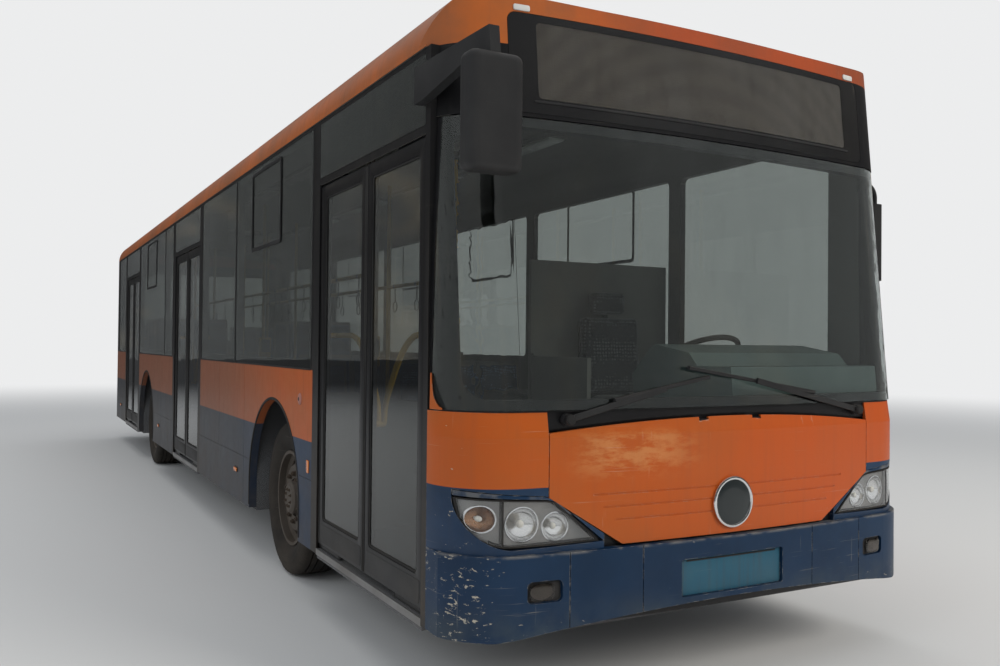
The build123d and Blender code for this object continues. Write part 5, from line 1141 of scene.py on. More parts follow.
@dataclass
class FrontTrim:
    """Badge, bare plate place, destination sign, screen posts, mirror glasses and wiper caps."""

    shop: Shop
    badge_z: float = 0.796
    badge_r: float = 0.11
    sign_x: float = 1.008
    sign_z: tuple = (2.387, 2.798)
    display_x: float = 0.883
    display_z: tuple = (2.449, 2.768)
    plate: tuple = ((-0.282, 0.425), (0.282, 0.575))
    # Dark strip just under the top of the plate place: a painted shadow cast by the recess's top
    # edge
    top_shadow_strip: tuple = ((-0.25, -0.0085, 0.564), (0.25, -0.0055, 0.57))
    post: tuple = (
        (-5.592, 1.203), (-5.516, 1.203), (-5.516, 1.345), (-5.522, 1.345), (-5.528, 1.3),
        (-5.538, 1.262), (-5.555, 1.232), (-5.575, 1.215), (-5.592, 1.209),
    )
    corner_y: float = FRONT_Y + 0.3548
    # Corners and station of each mirror glass
    mirrors: tuple = (
        ((-1.382, 2.075), (-1.202, 2.435), -0.1402), ((1.307, 1.842), (1.388, 2.218), 0.4548),
    )
    spindle_x: float = 0.816
    spindle_z: float = 1.168

    def build(self) -> None:
        """Make the trim of the front."""
        self.badge()
        self.plate_place()
        self.sign()
        self.posts()
        self.mirror_glasses()
        self.wiper_caps()

    def badge(self) -> None:
        """Plain bright ring round a bare dark disc on the flap."""
        r = self.badge_r
        centre = (0.0, FRONT_Y - FLAP_PROUD, self.badge_z)
        ring = (
            (0.0, 0.0), (-0.0035, 0.0015), (-0.0055, 0.006), (-0.0055, 0.01), (-0.0035, 0.0145),
            (0.0, 0.016),
        )
        mesh = Mesh().turned([(s, r - less) for s, less in ring], centre, 72, True)
        self.shop.piece("badge_ring", mesh, "chrome", "front_flap", "aluminium")
        face = [(0.0, r - 0.015), (-0.0008, r - 0.017), (-0.0022, r * 0.5), (-0.0028, 0.0)]
        self.shop.piece("badge_face", Mesh().turned(face, centre, 72), "badge_face", "front_flap")

    def plate_place(self) -> None:
        """Bare panel where a number plate would sit, with a dark strip under its top edge that is a
        painted shadow.
        """
        mesh = Mesh().across(rounded(*self.plate, 0.01), -0.0042, -0.0015, 0.0006)
        self.shop.piece("plate_place", mesh.bend(), "plate_blue")
        # Black strip that stands in for the shadow under the recess's top edge
        self.shop.piece("plate_top_shadow_strip", Mesh().box(*self.top_shadow_strip, 0.001).bend(), "black_plastic")

    def display(self, by: float) -> list[tuple]:
        """Outline of the display, grown by a margin."""
        low, high = self.display_z
        return rounded(*grown((-self.display_x, low), (self.display_x, high), by), 0.02)

    def sign(self) -> None:
        """Black surround, bare display, its pane and the sill below."""
        outer = rounded((-self.sign_x, self.sign_z[0]), (self.sign_x, self.sign_z[1]), 0.038)
        hole = self.display(0.0)
        wide, low = self.display_x + 0.02, self.display_z[0]
        for name, mesh, finish in (
            ("surround", Mesh().across(outer, 0.0002, 0.0052, holes=[hole]), "sign_black"),
            ("display", Mesh().across(self.display(0.004), 0.0048, 0.0008), "matrix"),
            ("pane", Mesh().across(self.display(-0.0005), 0.001, 0.0022), "sign_pane"),
        ):
            mesh.bend(raked=True)
            self.shop.piece(f"sign_{name}", mesh, finish, replaces="destination_sign")
        sill = Mesh().box((-wide, -0.004, low - 0.018), (wide, 0.002, low - 0.008), 0.0015)
        self.shop.piece("sign_sill", sill.bend(raked=True), "black_plastic")

    def posts(self) -> None:
        """Painted posts that round off the windscreen's lower corners."""
        mesh = Mesh().along(self.post, 0.0, -0.003)
        for cut in range(1, 12):
            mesh.cut((0, self.post[0][0] + cut * 0.0065, 0), (0, 1, 0))
        for v in mesh.bm.verts:
            depth = v.co.x + 0.0014
            ahead = v.co.y - lean(v.co.z) - self.corner_y
            v.co.x = HALF_WIDTH - CORNER_R + sqrt(CORNER_R**2 - ahead**2) + depth
        self.shop.piece("screen_posts", mesh.mirrored(), "livery_corner")

    def mirror_glasses(self) -> None:
        """Mirror glasses in slim rims on the rear faces of both heads."""
        glass, rims = Mesh(), Mesh()
        for low, high, station in self.mirrors:
            inner = rounded(*grown(low, high, -0.008), 0.022)
            rims.across(rounded(low, high, 0.028), at(station), 0.006, holes=[inner])
            glass.across(inner, at(station), 0.003)
        self.shop.piece("mirror_rims", rims, "black_plastic")
        self.shop.piece("mirror_glasses", glass, "mirror")

    def wiper_caps(self) -> None:
        """Round caps over the wiper spindles."""
        mesh = Mesh()
        cap = [(0.0, 0.0), (0.0, 0.016), (0.004, 0.021), (0.012, 0.0225), (0.012, 0.0)]
        y = bow(self.spindle_x) + lean(self.spindle_z) - 0.03
        for x in (-self.spindle_x, self.spindle_x):
            mesh.turned(cap, (x, y, self.spindle_z), 32)
        self.shop.piece("wiper_caps", mesh, "rubber")


@dataclass
class DoorLeaf:
    """One glazed leaf of a doorway: frame, pane, kick panels, edge rubbers, pins and grab rail."""

    shop: Shop
    name: str
    tag: str
    middle: float
    width: float
    x: float = -1.245
    thick: float = 0.04
    low: float = 0.388
    high: float = 2.3
    rail: float = 0.062
    kick: float = 0.13
    trail: float = 0.028
    lap: float = 0.008
    meet: float = 0.008
    lead: float = 0.025
    grab_top: float = 1.5
    grab_foot: float = 1.08

    def build(self) -> None:
        """Make the leaf's pieces."""
        self.hand = 1 if self.tag == "a" else -1
        span = self.width / 2 + self.trail - self.lap
        self.post = at(self.middle - self.hand * span)
        self.reach = span - self.meet / 2 - self.lead
        self.tail_y = self.post + self.hand * self.trail
        self.lead_y = self.post + self.hand * (self.reach + self.lead)
        self.first, self.last = sorted((self.tail_y, self.lead_y))
        self.body = f"door_{self.name}_leaf_{self.tag}"
        self.outer_x = self.x - self.thick / 2
        self.glazing()
        self.kick_panels()
        self.rubbers()
        self.pins()
        self.grab_rail()

    def add(self, part: str, mesh: Mesh, finish: str, slot: str = "") -> None:
        """Put a piece on the leaf in place of the leaf's solid."""
        self.shop.piece(f"{self.body}_{part}", mesh, finish, self.body, slot, self.body)

    def opening(self, grow: float) -> list[tuple]:
        """Outline of the glazed opening, grown by a margin."""
        low = (self.first + self.rail - grow, self.low + self.kick - grow)
        high = (self.last - self.rail + grow, self.high - self.rail + grow)
        return rounded(low, high, 0.026 + grow)

    def glazing(self) -> None:
        """Frame with its rails and stiles in one, the pane's seal and the tinted pane."""
        outer = rounded((self.first, self.low), (self.last, self.high), 0.006, 2)
        mesh = Mesh().along(outer, self.outer_x, self.thick, 0.003, [self.opening(0.0)])
        self.add("frame", mesh, "black_paint")
        outer, inner = self.opening(-0.0005), self.opening(-0.011)
        mesh = Mesh().along(outer, self.outer_x + 0.003, 0.014, 0.002, [inner])
        self.add("pane_seal", mesh, "rubber")
        mesh = Mesh().along(self.opening(-0.008), self.outer_x + 0.0075, 0.005)
        self.add("pane", mesh, "door_glass")

    def kick_panels(self) -> None:
        """Grained panels over the bottom rail, outside and inside."""
        low = (self.first + 0.03, self.low + 0.016)
        high = (self.last - 0.03, self.low + self.kick - 0.018)
        outline = rounded(low, high, 0.012)
        mesh = Mesh().along(outline, self.outer_x + 0.0005, -0.002, 0.0008)
        mesh.along(outline, self.outer_x + self.thick - 0.0005, 0.002, 0.0008)
        self.add("kick_panels", mesh, "kick")

    def rubbers(self) -> None:
        """Finger-guard rubber on the meeting edge and a lip on the other."""
        mesh = Mesh()
        for one, two, proud in (
            (self.lead_y - self.hand * 0.013, self.lead_y + self.hand * 0.0015, 0.005),
            (self.tail_y - self.hand * 0.003, self.tail_y + self.hand * 0.009, 0.0025),
        ):
            first, last = sorted((one, two))
            low = (self.outer_x - proud * 0.5, first, self.low + 0.004)
            high = (self.outer_x + self.thick + proud * 0.5, last, self.high - 0.004)
            mesh.box(low, high, 0.0025)
        self.add("edge_rubbers", mesh, "rubber")

    def pins(self) -> None:
        """Knee pins at both arms, and the guide roller on its pin."""
        knee = self.post + self.hand * self.reach / 2
        roller = self.post + self.hand * self.reach
        mesh = Mesh()
        for y, low, high, radius in (
            (knee, 0.364, 0.39, 0.008), (knee, 2.298, 2.326, 0.008),
            (roller, 2.298, 2.34, 0.008), (roller, 2.338, 2.358, 0.01),
        ):
            mesh.disc((self.x, y, (low + high) / 2), (0, 0, 1), radius, high - low, 24, 0.001)
        self.add("pins", mesh, "hub", "aluminium")

    def grab_rail(self) -> None:
        """Bent yellow rail inside, on two round feet."""
        face = self.outer_x + self.thick
        far = face + 0.048
        tail, lead = self.tail_y + self.hand * 0.031, self.lead_y - self.hand * 0.031
        near_tail, near_lead = tail + self.hand * 0.002, lead - self.hand * 0.002
        middle = (self.tail_y + self.lead_y) / 2
        top, foot = self.grab_top, self.grab_foot
        run = [
            (face - 0.001, tail, top), (face + 0.03, tail, top), (far, tail, top),
            (far, near_tail + self.hand * 0.05, top), (far, middle + self.hand * 0.04, top),
            (far, near_lead - self.hand * 0.02, 1.2), (far, near_lead, 1.12), (far, lead, foot),
            (face + 0.03, lead, foot), (face - 0.001, lead, foot),
        ]
        self.shop.rail(f"{self.body}_grab_rail", run, 0.014, "yellow", self.body)
        mesh = Mesh()
        for y, z in ((tail, top), (lead, foot)):
            mesh.disc((face + 0.002, y, z), (1, 0, 0), 0.024, 0.005, 32, 0.0015)
        self.add("rail_feet", mesh, "yellow")


@dataclass
class HubWheels:
    """Tyres, nuts and bolts of the wheels on one hub."""

    shop: Shop
    node: str
    body: str
    side: int
    station: float
    middles: tuple
    # Offset, pitch radius, count, size and height
    nuts: tuple
    bolts: tuple
    hub_z: float = 0.4785
    flank: tuple = (
        (0.0955, 0.2866), (0.0962, 0.3), (0.112, 0.318), (0.1265, 0.345), (0.1338, 0.372),
        (0.1352, 0.39), (0.1358, 0.394), (0.1358, 0.401), (0.1346, 0.405), (0.1335, 0.425),
        (0.128, 0.447), (0.1195, 0.4635), (0.108, 0.4725), (0.099, 0.4755),
    )
    tread: tuple = (
        (0.0755, 0.4774), (0.0745, 0.465), (0.0655, 0.465), (0.0645, 0.4777), (0.036, 0.4782),
        (0.035, 0.465), (0.025, 0.465), (0.024, 0.4784), (0.0, 0.4785),
    )

    def build(self) -> None:
        """Make the pieces of this hub's wheels."""
        self.tyres()
        self.fasteners()

    def tyres(self) -> None:
        """Tyres with rounded shoulders, rim guards and four grooves."""
        half = [*self.flank, *self.tread]
        profile = half + [(-s, r) for s, r in reversed(half[:-1])]
        mesh = Mesh()
        for middle in self.middles:
            centre = (self.side * middle, at(self.station), self.hub_z)
            mesh.turned(profile, centre, 96, True, (1, 0, 0))
        self.shop.piece(
            f"{self.node}_treaded", mesh, "tyre", self.body, replaces=self.node, sharp=40.0,
        )

    def fasteners(self) -> None:
        """Wheel nuts on their washers and the smaller bolts of the hub."""
        mesh = Mesh()
        axis = (self.side, 0, 0)
        for offset, pitch, count, size, tall in (self.nuts, self.bolts):
            x = self.side * (self.middles[0] + offset)
            for index in range(count):
                turn = 2 * pi * (index + 0.5) / count
                y, z = at(self.station) + pitch * cos(turn), self.hub_z + pitch * sin(turn)
                for out, radius, depth, sides, edge in (
                    (0.0015, size * 1.25, 0.004, 20, 0.0008), (tall / 2, size, tall, 6, 0.001),
                    (tall + 0.003, size * 0.5, 0.008, 12, 0.0008),
                ):
                    centre = (x + self.side * out, y, z)
                    mesh.disc(centre, axis, radius, depth, sides, edge)
        self.shop.piece(f"{self.node}_nuts", mesh, "hub", self.body)


@dataclass
class Sides:
    """What lies on the side walls: seals, hoppers, arch lips, drip rails, lamps and a knob."""

    shop: Shop
    skin_x: float = HALF_WIDTH
    low: float = BELT_Z
    high: float = 2.645
    door_panes: tuple = (
        (1.925, 3.815), (3.825, 5.125), (6.685, 7.205), (7.215, 9.235), (10.795, 11.56),
    )
    road_panes: tuple = (
        (0.52, 1.88), (1.89, 3.815), (3.825, 5.51), (5.52, 7.205), (7.215, 9.235), (9.245, 11.56),
    )
    door_hoppers: tuple = ((2.585, 3.335), (7.85, 8.6))
    road_hoppers: tuple = ((2.4, 3.3), (4.2, 5.1), (5.9, 6.8), (7.8, 8.7), (9.9, 10.8))
    door_lamps: tuple = (3.73, 7.55, 11.25)
    road_lamps: tuple = (0.9, 3.73, 5.4, 7.55, 9.6, 11.25)
    hopper_z: tuple = (2.075, 2.61)
    drip: tuple = ((0.4, 2.657), (11.6, 2.669))
    lamp_z: float = 0.542
    upright_lamp: tuple = ((at(1.945), 0.74), (at(1.985), 0.81))
    knob: tuple = (-HALF_WIDTH, at(2.131), 1.139)
    arch_r: float = 0.59
    arch_z: float = 0.51
    skirt_z: float = 0.352

    def build(self) -> None:
        """Make what lies on both sides."""
        for tag, side, panes, hoppers in (
            ("door", -1, self.door_panes, self.door_hoppers),
            ("road", 1, self.road_panes, self.road_hoppers),
        ):
            self.seals(tag, side, panes)
            self.hopper_frames(tag, side, hoppers)
            self.arch_lips(tag, side)
            start, stop = sorted((side * (self.skin_x - 0.001), side * (self.skin_x + 0.006)))
            (first, low), (last, high) = self.drip
            mesh = Mesh().box((start, at(first), low), (stop, at(last), high), 0.002)
            self.shop.piece(f"drip_rail_{tag}", mesh, "livery")
        self.side_lamps()
        self.release_knob()

    def seals(self, tag: str, side: int, panes: tuple) -> None:
        """Thin seals round the bonded panes."""
        mesh = Mesh()
        for first, last in panes:
            low, high = (at(first), self.low), (at(last), self.high)
            outer = rounded(*grown(low, high, 0.003), 0.02, 4)
            low, high = (low[0] + 0.007, low[1] + 0.008), (high[0] - 0.007, high[1] - 0.007)
            inner = rounded(low, high, 0.016, 4)
            mesh.along(outer, side * (self.skin_x - 0.0008), side * 0.0025, 0.0008, [inner])
        self.shop.piece(f"window_seals_{tag}", mesh, "rubber")

    def hopper_frames(self, tag: str, side: int, hoppers: tuple) -> None:
        """Frames of the tilting upper lights."""
        mesh = Mesh()
        foot, top = self.hopper_z
        for first, last in hoppers:
            outer = rounded((at(first), foot), (at(last), top), 0.03, 4)
            low, high = (at(first) + 0.022, foot + 0.025), (at(last) - 0.022, top - 0.02)
            inner = rounded(low, high, 0.018, 4)
            mesh.along(outer, side * (self.skin_x - 0.0005), side * 0.006, 0.002, [inner])
        self.shop.piece(f"hopper_frames_{tag}", mesh, "black_plastic")

    def arch_lips(self, tag: str, side: int) -> None:
        """Rubber lips round the wheel arches."""
        mesh = Mesh()
        r = self.arch_r
        start, stop = side * (self.skin_x - 0.002), side * (self.skin_x + 0.004)
        for y in (at(FRONT_AXLE), at(REAR_AXLE)):
            corners = ((start, r - 0.001), (stop, r + 0.001), (stop, r + 0.014), (start, r + 0.018))
            verts = [mesh.bm.verts.new((x, y + reach, self.arch_z)) for x, reach in corners]
            edges = [mesh.bm.edges.new((verts[index - 1], verts[index])) for index in range(4)]
            bmesh.ops.spin(
                mesh.bm, geom=verts + edges, cent=(0, y, self.arch_z), axis=(1, 0, 0),
                dvec=(0, 0, 0), angle=pi, steps=48, use_merge=False,
            )
            for way in (-1, 1):
                foot = y + way * (r + 0.0085)
                low = (min(start, stop), foot - 0.0085, self.skirt_z)
                mesh.box(low, (max(start, stop), foot + 0.0085, self.arch_z), 0.002)
        self.shop.piece(f"arch_lips_{tag}", mesh, "rubber")

    def side_lamps(self) -> None:
        """Amber marker lamps along both skirts, in black holders, and one behind the front door."""
        lamps, holders = Mesh(), Mesh()
        for side, stations in ((-1, self.door_lamps), (1, self.road_lamps)):
            x = side * self.skin_x
            for station in stations:
                corners = around(at(station), self.lamp_z, 0.05, 0.02)
                holders.along(rounded(*corners, 0.012), x - side * 0.001, side * 0.005, 0.001)
                corners = grown(*corners, -0.006)
                lamps.along(rounded(*corners, 0.01), x + side * 0.003, side * 0.008, 0.003)
        lamps.along(rounded(*self.upright_lamp, 0.006), 0.0005 - self.skin_x, -0.005, 0.0015)
        self.shop.piece("side_lamp_holders", holders, "black_plastic")
        self.shop.piece("side_lamps", lamps, "amber")

    def release_knob(self) -> None:
        """Round door release behind the front door."""
        boss = [(0.0, 0.034), (0.003, 0.033), (0.007, 0.027), (0.009, 0.02), (0.009, 0.0)]
        self.shop.piece("release_knob", Mesh().turned(boss, self.knob, 40, axis=(-1, 0, 0)), "boss")
        button = [(0.009, 0.011), (0.0105, 0.009), (0.0105, 0.0)]
        mesh = Mesh().turned(button, self.knob, 24, axis=(-1, 0, 0))
        self.shop.piece("release_knob_button", mesh, "black_plastic")


@dataclass
class Tail:
    """Rear lamps and the rear window's seal."""

    shop: Shop
    column_x: float = 1.065
    lens_r: float = 0.045
    lenses: tuple = (("red", (0.65, 1.01, 1.13)), ("white", (0.77,)), ("amber", (0.89,)))
    column_z: float = 0.905
    window: tuple = ((-1.004, 1.426), (1.004, 2.564))
    upper_z: float = 2.675

    def build(self) -> None:
        """Make the rear's pieces."""
        self.columns()
        inner = rounded(*grown(*self.window, -0.019), 0.035)
        mesh = Mesh().across(rounded(*self.window, 0.05), TAIL_Y - 0.002, 0.0018, holes=[inner])
        self.shop.piece("rear_window_seal", mesh, "rubber")
        mesh = Mesh()
        for x, half in ((-1.05, 0.04), (1.05, 0.04), (0.0, 0.14)):
            outline = rounded(*around(x, self.upper_z, half, 0.015), 0.01)
            mesh.across(outline, TAIL_Y - 0.004, 0.0038, 0.001)
        self.shop.piece("rear_upper_lamps", mesh, "red")

    def columns(self) -> None:
        """Upright lamp columns with round lenses."""
        outline = rounded(*around(self.column_x, self.column_z, 0.054, 0.344), 0.029)
        mesh = Mesh().across(outline, TAIL_Y - 0.0055, 0.002, 0.0006)
        self.shop.piece("rear_lamp_backs", mesh.mirrored(), "black_plastic", replaces="lamps")
        r = self.lens_r
        profile = [(0.0, r), (0.001, r), (0.0022, r * 0.93), (0.003, r * 0.6), (0.0034, 0.0)]
        for finish, heights in self.lenses:
            mesh = Mesh()
            for z in heights:
                mesh.turned(profile, (self.column_x, TAIL_Y - 0.0036, z), 40)
            self.shop.piece(f"rear_lenses_{finish}", mesh.mirrored(), finish, replaces="lamps")


@dataclass
class Saloon:
    """What shows inside: seat pads, the driver's seat, lights, grab handles and ticket readers."""

    shop: Shop
    seat_w: float = 0.39
    pan: float = 0.42
    pad: float = 0.032
    middle_seat: tuple = (0.0, 11.25, 1.14)
    driver_x: float = 0.64
    light_x: float = 0.55
    lights: tuple = (2.3, 3.9, 5.5, 7.1, 8.7, 10.1)
    handle_x: float = 0.35
    handles: int = 14
    reader_x: float = -0.35
    readers: tuple = (3.52, 6.7, 9.32)
    # Side, station of the front edge and height of the pan of each pair of seats
    rows: tuple = (
        (1, 3.56, 0.758), (1, 4.31, 0.758), (1, 6.75, 0.758), (1, 7.4, 0.758), (1, 8.01, 1.176),
        (1, 8.64, 1.176), (1, 9.42, 0.758), (1, 10.14, 0.758), (1, 11.25, 1.14), (-1, 3.56, 0.758),
        (-1, 4.31, 0.758), (-1, 6.85, 0.758), (-1, 7.42, 0.758), (-1, 8.01, 1.176),
        (-1, 8.64, 1.176), (-1, 11.25, 1.14),
    )

    def build(self) -> None:
        """Make what shows inside."""
        self.passenger_pads()
        self.driver()
        self.ceiling()
        self.grab_handles()
        self.ticket_readers()

    @staticmethod
    def puffed(size: tuple, voxel: float, cap: float) -> bpy.types.Mesh:
        """A pad swollen by a cloth simulation.

        Args:
            size: its three lengths before it swells.
            voxel: grid of its mesh.
            cap: farthest that a point may move.

        Returns:
            Its mesh, centred on the origin.
        """
        high = Vector(size) / 2
        holder = put("pad_blank", Mesh().box(-high, high, min(size) * 0.36, 3).data("pad_blank"))
        remesh = holder.modifiers.new("grid", "REMESH")
        remesh.mode = "VOXEL"
        remesh.voxel_size = voxel
        start = evaluated(holder)
        holder.modifiers.clear()
        holder.data = start
        settings = holder.modifiers.new("swell", "CLOTH").settings
        settings.use_pressure = True
        settings.uniform_pressure_force = 4.0
        settings.effector_weights.gravity = 0.0
        settings.quality = 5
        scene = bpy.context.scene
        for step in range(1, 21):
            scene.frame_set(step)
        for before, after in zip(start.vertices, evaluated(holder).vertices):
            move = after.co - before.co
            if move.length > cap:
                move *= cap / move.length
            before.co += move
        scene.frame_set(1)
        bpy.data.objects.remove(holder)
        return start

    def passenger_pads(self) -> None:
        """Pads on the pans and on the backs, each swollen once and repeated."""
        spots = [(side * x, front, pan) for side, front, pan in self.rows for x in (0.575, 1.005)]
        spots.append(self.middle_seat)
        halves = {"road": [s for s in spots if s[0] > 0], "door": [s for s in spots if s[0] <= 0]}
        wide = self.seat_w - 0.012
        for name, size, offset, turn in (
            ("seat_pads", (wide, 0.288, 0.024), (0.165, self.pad / 2), 0.0),
            ("back_pads", (wide, 0.024, 0.475), (self.pan - 0.0765 + 0.0317, 0.295), -0.1068),
        ):
            source = self.puffed(size, 0.011, 0.005)
            for tag, places in halves.items():
                mesh = Mesh()
                for x, front, pan in places:
                    place = Matrix.Translation((x, at(front + offset[0]), pan + offset[1]))
                    start = len(mesh.bm.verts)
                    mesh.bm.from_mesh(source)
                    mesh.bm.verts.ensure_lookup_table()
                    place = place @ Matrix.Rotation(turn, 4, "X")
                    bmesh.ops.transform(mesh.bm, matrix=place, verts=mesh.bm.verts[start:])
                made = self.shop.piece(
                    f"{name}_{tag}", mesh, "moquette", replaces="seat_cushions", sharp=60.0,
                )

    def driver(self) -> None:
        """Driver's seat: pads, head rest, shell and suspension."""
        x = self.driver_x
        for name, size, place, turn, cap in (
            ("cushion", (0.44, 0.42, 0.09), (x, at(1.54), 1.095), 0.0, 0.014),
            ("back", (0.44, 0.09, 0.5), (x, at(1.8), 1.4), -0.09, 0.014),
            ("head_rest", (0.26, 0.07, 0.14), (x, at(1.843), 1.73), -0.09, 0.01),
        ):
            mesh = Mesh()
            mesh.bm.from_mesh(self.puffed(size, 0.008, cap))
            spot = Matrix.Translation(place) @ Matrix.Rotation(turn, 4, "X")
            bmesh.ops.transform(mesh.bm, matrix=spot, verts=mesh.bm.verts)
            made = self.shop.piece(
                f"driver_{name}", mesh, "driver_cloth", replaces="driver_seat", sharp=60.0,
            )
        mesh = Mesh().box((x - 0.225, at(1.34), 1.02), (x + 0.225, at(1.83), 1.052), 0.012)
        mesh.box((x - 0.2, at(1.855), 1.1), (x + 0.2, at(1.875), 1.62), 0.008)
        mesh.box((x - 0.02, at(1.855), 1.6), (x + 0.02, at(1.88), 1.76), 0.006)
        self.shop.piece("driver_seat_shell", mesh, "black_plastic", replaces="driver_seat")
        mesh = Mesh()
        for step in range(6):
            inset, foot = 0.012 * (step % 2), 0.651 + step * 0.061
            low = (x - 0.15 + inset, at(1.41) + inset, foot)
            mesh.box(low, (x + 0.15 - inset, at(1.77) - inset, foot + 0.061), 0.008)
        self.shop.piece("driver_seat_bellows", mesh, "rubber", replaces="driver_seat")

    def ceiling(self) -> None:
        """Two strips of ceiling lights in their holders."""
        lights, holders = Mesh(), Mesh()
        for x in (-self.light_x, self.light_x):
            for first in self.lights:
                start, stop = at(first), at(first + 1.5)
                holders.box((x - 0.085, start, 2.885), (x + 0.085, stop, 2.9175), 0.004)
                low, high = (x - 0.065, start + 0.02, 2.868), (x + 0.065, stop - 0.02, 2.887)
                lights.box(low, high, 0.008)
        self.shop.piece("ceiling_lights", lights, "white", slot="grey_panel")
        self.shop.piece("ceiling_light_holders", holders, "lining")

    def grab_handles(self) -> None:
        """Grab handles hanging from the long rails: a sleeve, a strap and a ring each."""
        sleeve = [(-0.012, 0.0215), (-0.012, 0.0175), (0.012, 0.0175), (0.012, 0.0215)]
        ring = [(0.0, 0.052), (0.006, 0.047), (0.0, 0.042), (-0.006, 0.047)]
        mesh = Mesh()
        for x in (-self.handle_x, self.handle_x):
            for index in range(self.handles):
                y = at(3.75 + index * 0.49)
                mesh.turned(sleeve, (x, y, 1.98), 20, True)
                mesh.box((x - 0.0025, y - 0.011, 1.84), (x + 0.0025, y + 0.011, 1.96), 0.001)
                mesh.turned(ring, (x, y, 1.795), 28, True, (1, 0, 0))
        self.shop.piece("grab_handles", mesh, "black_plastic")

    def ticket_readers(self) -> None:
        """Ticket readers on three poles near the doors."""
        cases, faces = Mesh(), Mesh()
        x = self.reader_x
        outline = rounded(*around(x, 1.425, 0.045, 0.065), 0.01)
        for y in map(at, self.readers):
            cases.box((x - 0.06, y - 0.1, 1.28), (x + 0.06, y - 0.0172, 1.52), 0.018, 3)
            faces.across(outline, y - 0.1, -0.002, 0.0008)
        self.shop.piece("ticket_readers", cases, "yellow")
        self.shop.piece("ticket_reader_faces", faces, "badge_face")


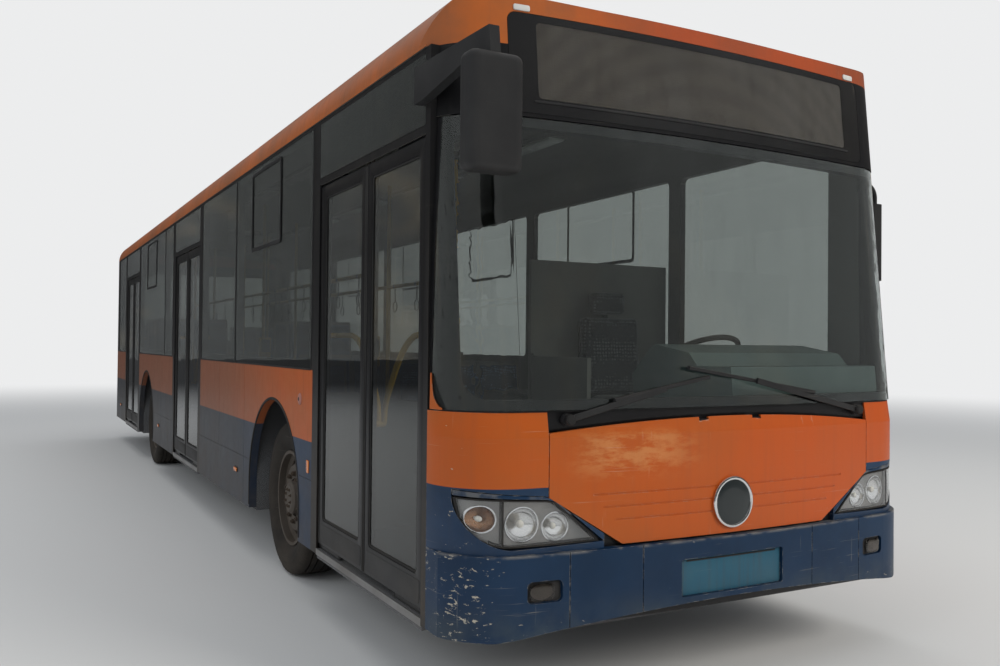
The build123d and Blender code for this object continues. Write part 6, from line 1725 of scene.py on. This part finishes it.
@dataclass
class Studio:
    """Floor, lights and camera."""

    eye: tuple = (-2.746, -8.790, 1.457)
    yaw: float = 28.593
    pitch: float = 0.768
    roll: float = 0.573
    focal_px: float = 904.287
    frame_px: float = 1000.0
    sensor: float = 36.0

    def build(self) -> None:
        """Set the stage."""
        self.camera()
        self.floor()
        self.sky()
        self.lamps()

    def camera(self) -> None:
        """Camera at the photograph's place, turn and angle of view."""
        yaw, pitch, roll = radians(self.yaw), radians(self.pitch), radians(self.roll)
        look = Vector((sin(yaw) * cos(pitch), cos(yaw) * cos(pitch), sin(pitch)))
        right = Vector((cos(yaw), -sin(yaw), 0.0))
        up = right.cross(look)
        across = right * cos(roll) + up * sin(roll)
        over = up * cos(roll) - right * sin(roll)
        turn = Matrix((across, over, -look)).transposed().to_4x4()
        data = bpy.data.cameras.new("camera")
        data.sensor_width = self.sensor
        data.sensor_fit = "HORIZONTAL"
        data.lens = self.focal_px / self.frame_px * self.sensor
        data.clip_end = 200.0
        made = put("camera", data)
        made.matrix_world = Matrix.Translation(self.eye) @ turn
        bpy.context.scene.camera = made

    def floor(self) -> None:
        """Pale floor that runs into the pale surroundings."""
        mesh = Mesh()
        bmesh.ops.create_grid(mesh.bm, x_segments=1, y_segments=1, size=70.0)
        floor = put("studio_floor", mesh.data("studio_floor"))
        material, nodes = Nodes.material("studio_floor")
        inputs = {"Base Color": (0.64, 0.64, 0.63, 1), "Roughness": 0.9, "Specular IOR Level": 0.2}
        shader = nodes.new("BsdfPrincipled", inputs)
        x, y, _ = nodes.axes(nodes.place())
        reach = nodes.math("SQRT", nodes.plus(nodes.times(x, x), nodes.times(y, y)))
        far = nodes.mix(nodes.new("LightPath").outputs["Is Glossy Ray"], PALE, DIM)
        glow = nodes.new("Emission", {"Color": far, "Strength": 1.0})
        far_blend = {0: nodes.step(reach, 9.0, 26.0), 1: shader.outputs[0], 2: glow.outputs[0]}
        nodes.new("OutputMaterial", {0: nodes.new("MixShader", far_blend).outputs[0]})
        floor.data.materials.append(material)

    def sky(self) -> None:
        """Pale surroundings for the eye, a graded one for gloss and a soft plain light."""
        world = bpy.data.worlds.new("studio")
        world.use_nodes = True
        bpy.context.scene.world = world
        nodes = Nodes(world.node_tree)
        way = nodes.new("TexCoord").outputs["Generated"]
        up = nodes.axes(way)[2]
        graded = nodes.mix(nodes.step(up, 0.02, 0.9), DIM, PALE)
        tall = nodes.stretch(way, (1.0, 1.0, 0.55))
        patches = nodes.step(nodes.noise(tall, 3.1, 5.0, 0.6), 0.44, 0.58)
        graded = nodes.mix(nodes.times(patches, 0.75), graded, (0.015, 0.015, 0.014))
        warm = nodes.step(nodes.noise(way, 4.3, 4.0, 0.6), 0.5, 0.66)
        warm = nodes.times(warm, nodes.step(up, 0.5, 0.05), 0.6)
        graded = nodes.mix(warm, graded, (0.5, 0.4, 0.24))
        ray = nodes.new("LightPath").outputs
        colour = nodes.mix(ray["Is Glossy Ray"], (0.5, 0.52, 0.55), graded)
        seen = nodes.most(ray["Is Camera Ray"], ray["Is Transmission Ray"])
        colour = nodes.mix(seen, colour, PALE)
        back = nodes.new("Background", {"Color": colour, "Strength": 1.0})
        nodes.new("OutputWorld", {0: back.outputs[0]})

    def lamps(self) -> None:
        """Key light from ahead and above, a weak fill from the door side and one over the roof."""
        for name, place, size, power, colour, aim in (
            ("key", (6.0, -15.0, 8.0), 6.0, 1050.0, (1.0, 0.95, 0.88), (0.0, -3.5, 1.0)),
            ("fill", (-11.0, -6.0, 6.0), 8.0, 330.0, (0.92, 0.96, 1.0), (0.0, -3.5, 1.0)),
            ("top", (0.0, 2.0, 12.0), 12.0, 520.0, (1.0, 0.99, 0.97), (0.0, 2.0, 1.0)),
        ):
            data = bpy.data.lights.new(name, "AREA")
            data.size = size
            data.energy = power
            data.color = colour
            made = put(name, data)
            made.location = place
            made.visible_glossy = False
            made.visible_transmission = False
            made.rotation_euler = (Vector(aim) - Vector(place)).to_track_quat("-Z", "Y").to_euler()


def main() -> None:
    """Build the bus piece by piece."""
    logging.basicConfig(level=logging.INFO, format="%(message)s")
    bpy.context.scene.view_settings.view_transform = "Standard"
    Effects().build()
    shop = Shop()
    shop.dress_nodes()
    Studio().build()
    FrontLamps(shop).build()
    FrontTrim(shop).build()
    for name, middle, width in DOORWAYS:
        for tag in ("a", "b"):
            DoorLeaf(shop, name, tag, middle, width).build()
    front = (FRONT_AXLE, (1.05,), (0.076, 0.15, 10, 0.0155, 0.022), (0.118, 0.055, 8, 0.008, 0.008))
    rear = (
        REAR_AXLE, (1.052, 0.74), (-0.14, 0.14, 10, 0.0155, 0.03), (0.034, 0.062, 10, 0.008, 0.008),
    )
    for tag, side in (("door", -1), ("road", 1)):
        HubWheels(shop, f"tyre_front_{tag}", f"wheel_front_{tag}", side, *front).build()
        HubWheels(shop, f"tyres_rear_{tag}", f"wheels_rear_{tag}", side, *rear).build()
    Sides(shop).build()
    Tail(shop).build()
    Saloon(shop).build()
    LOG.info("%d pieces", shop.count)


if __name__ == "__main__":
    main()
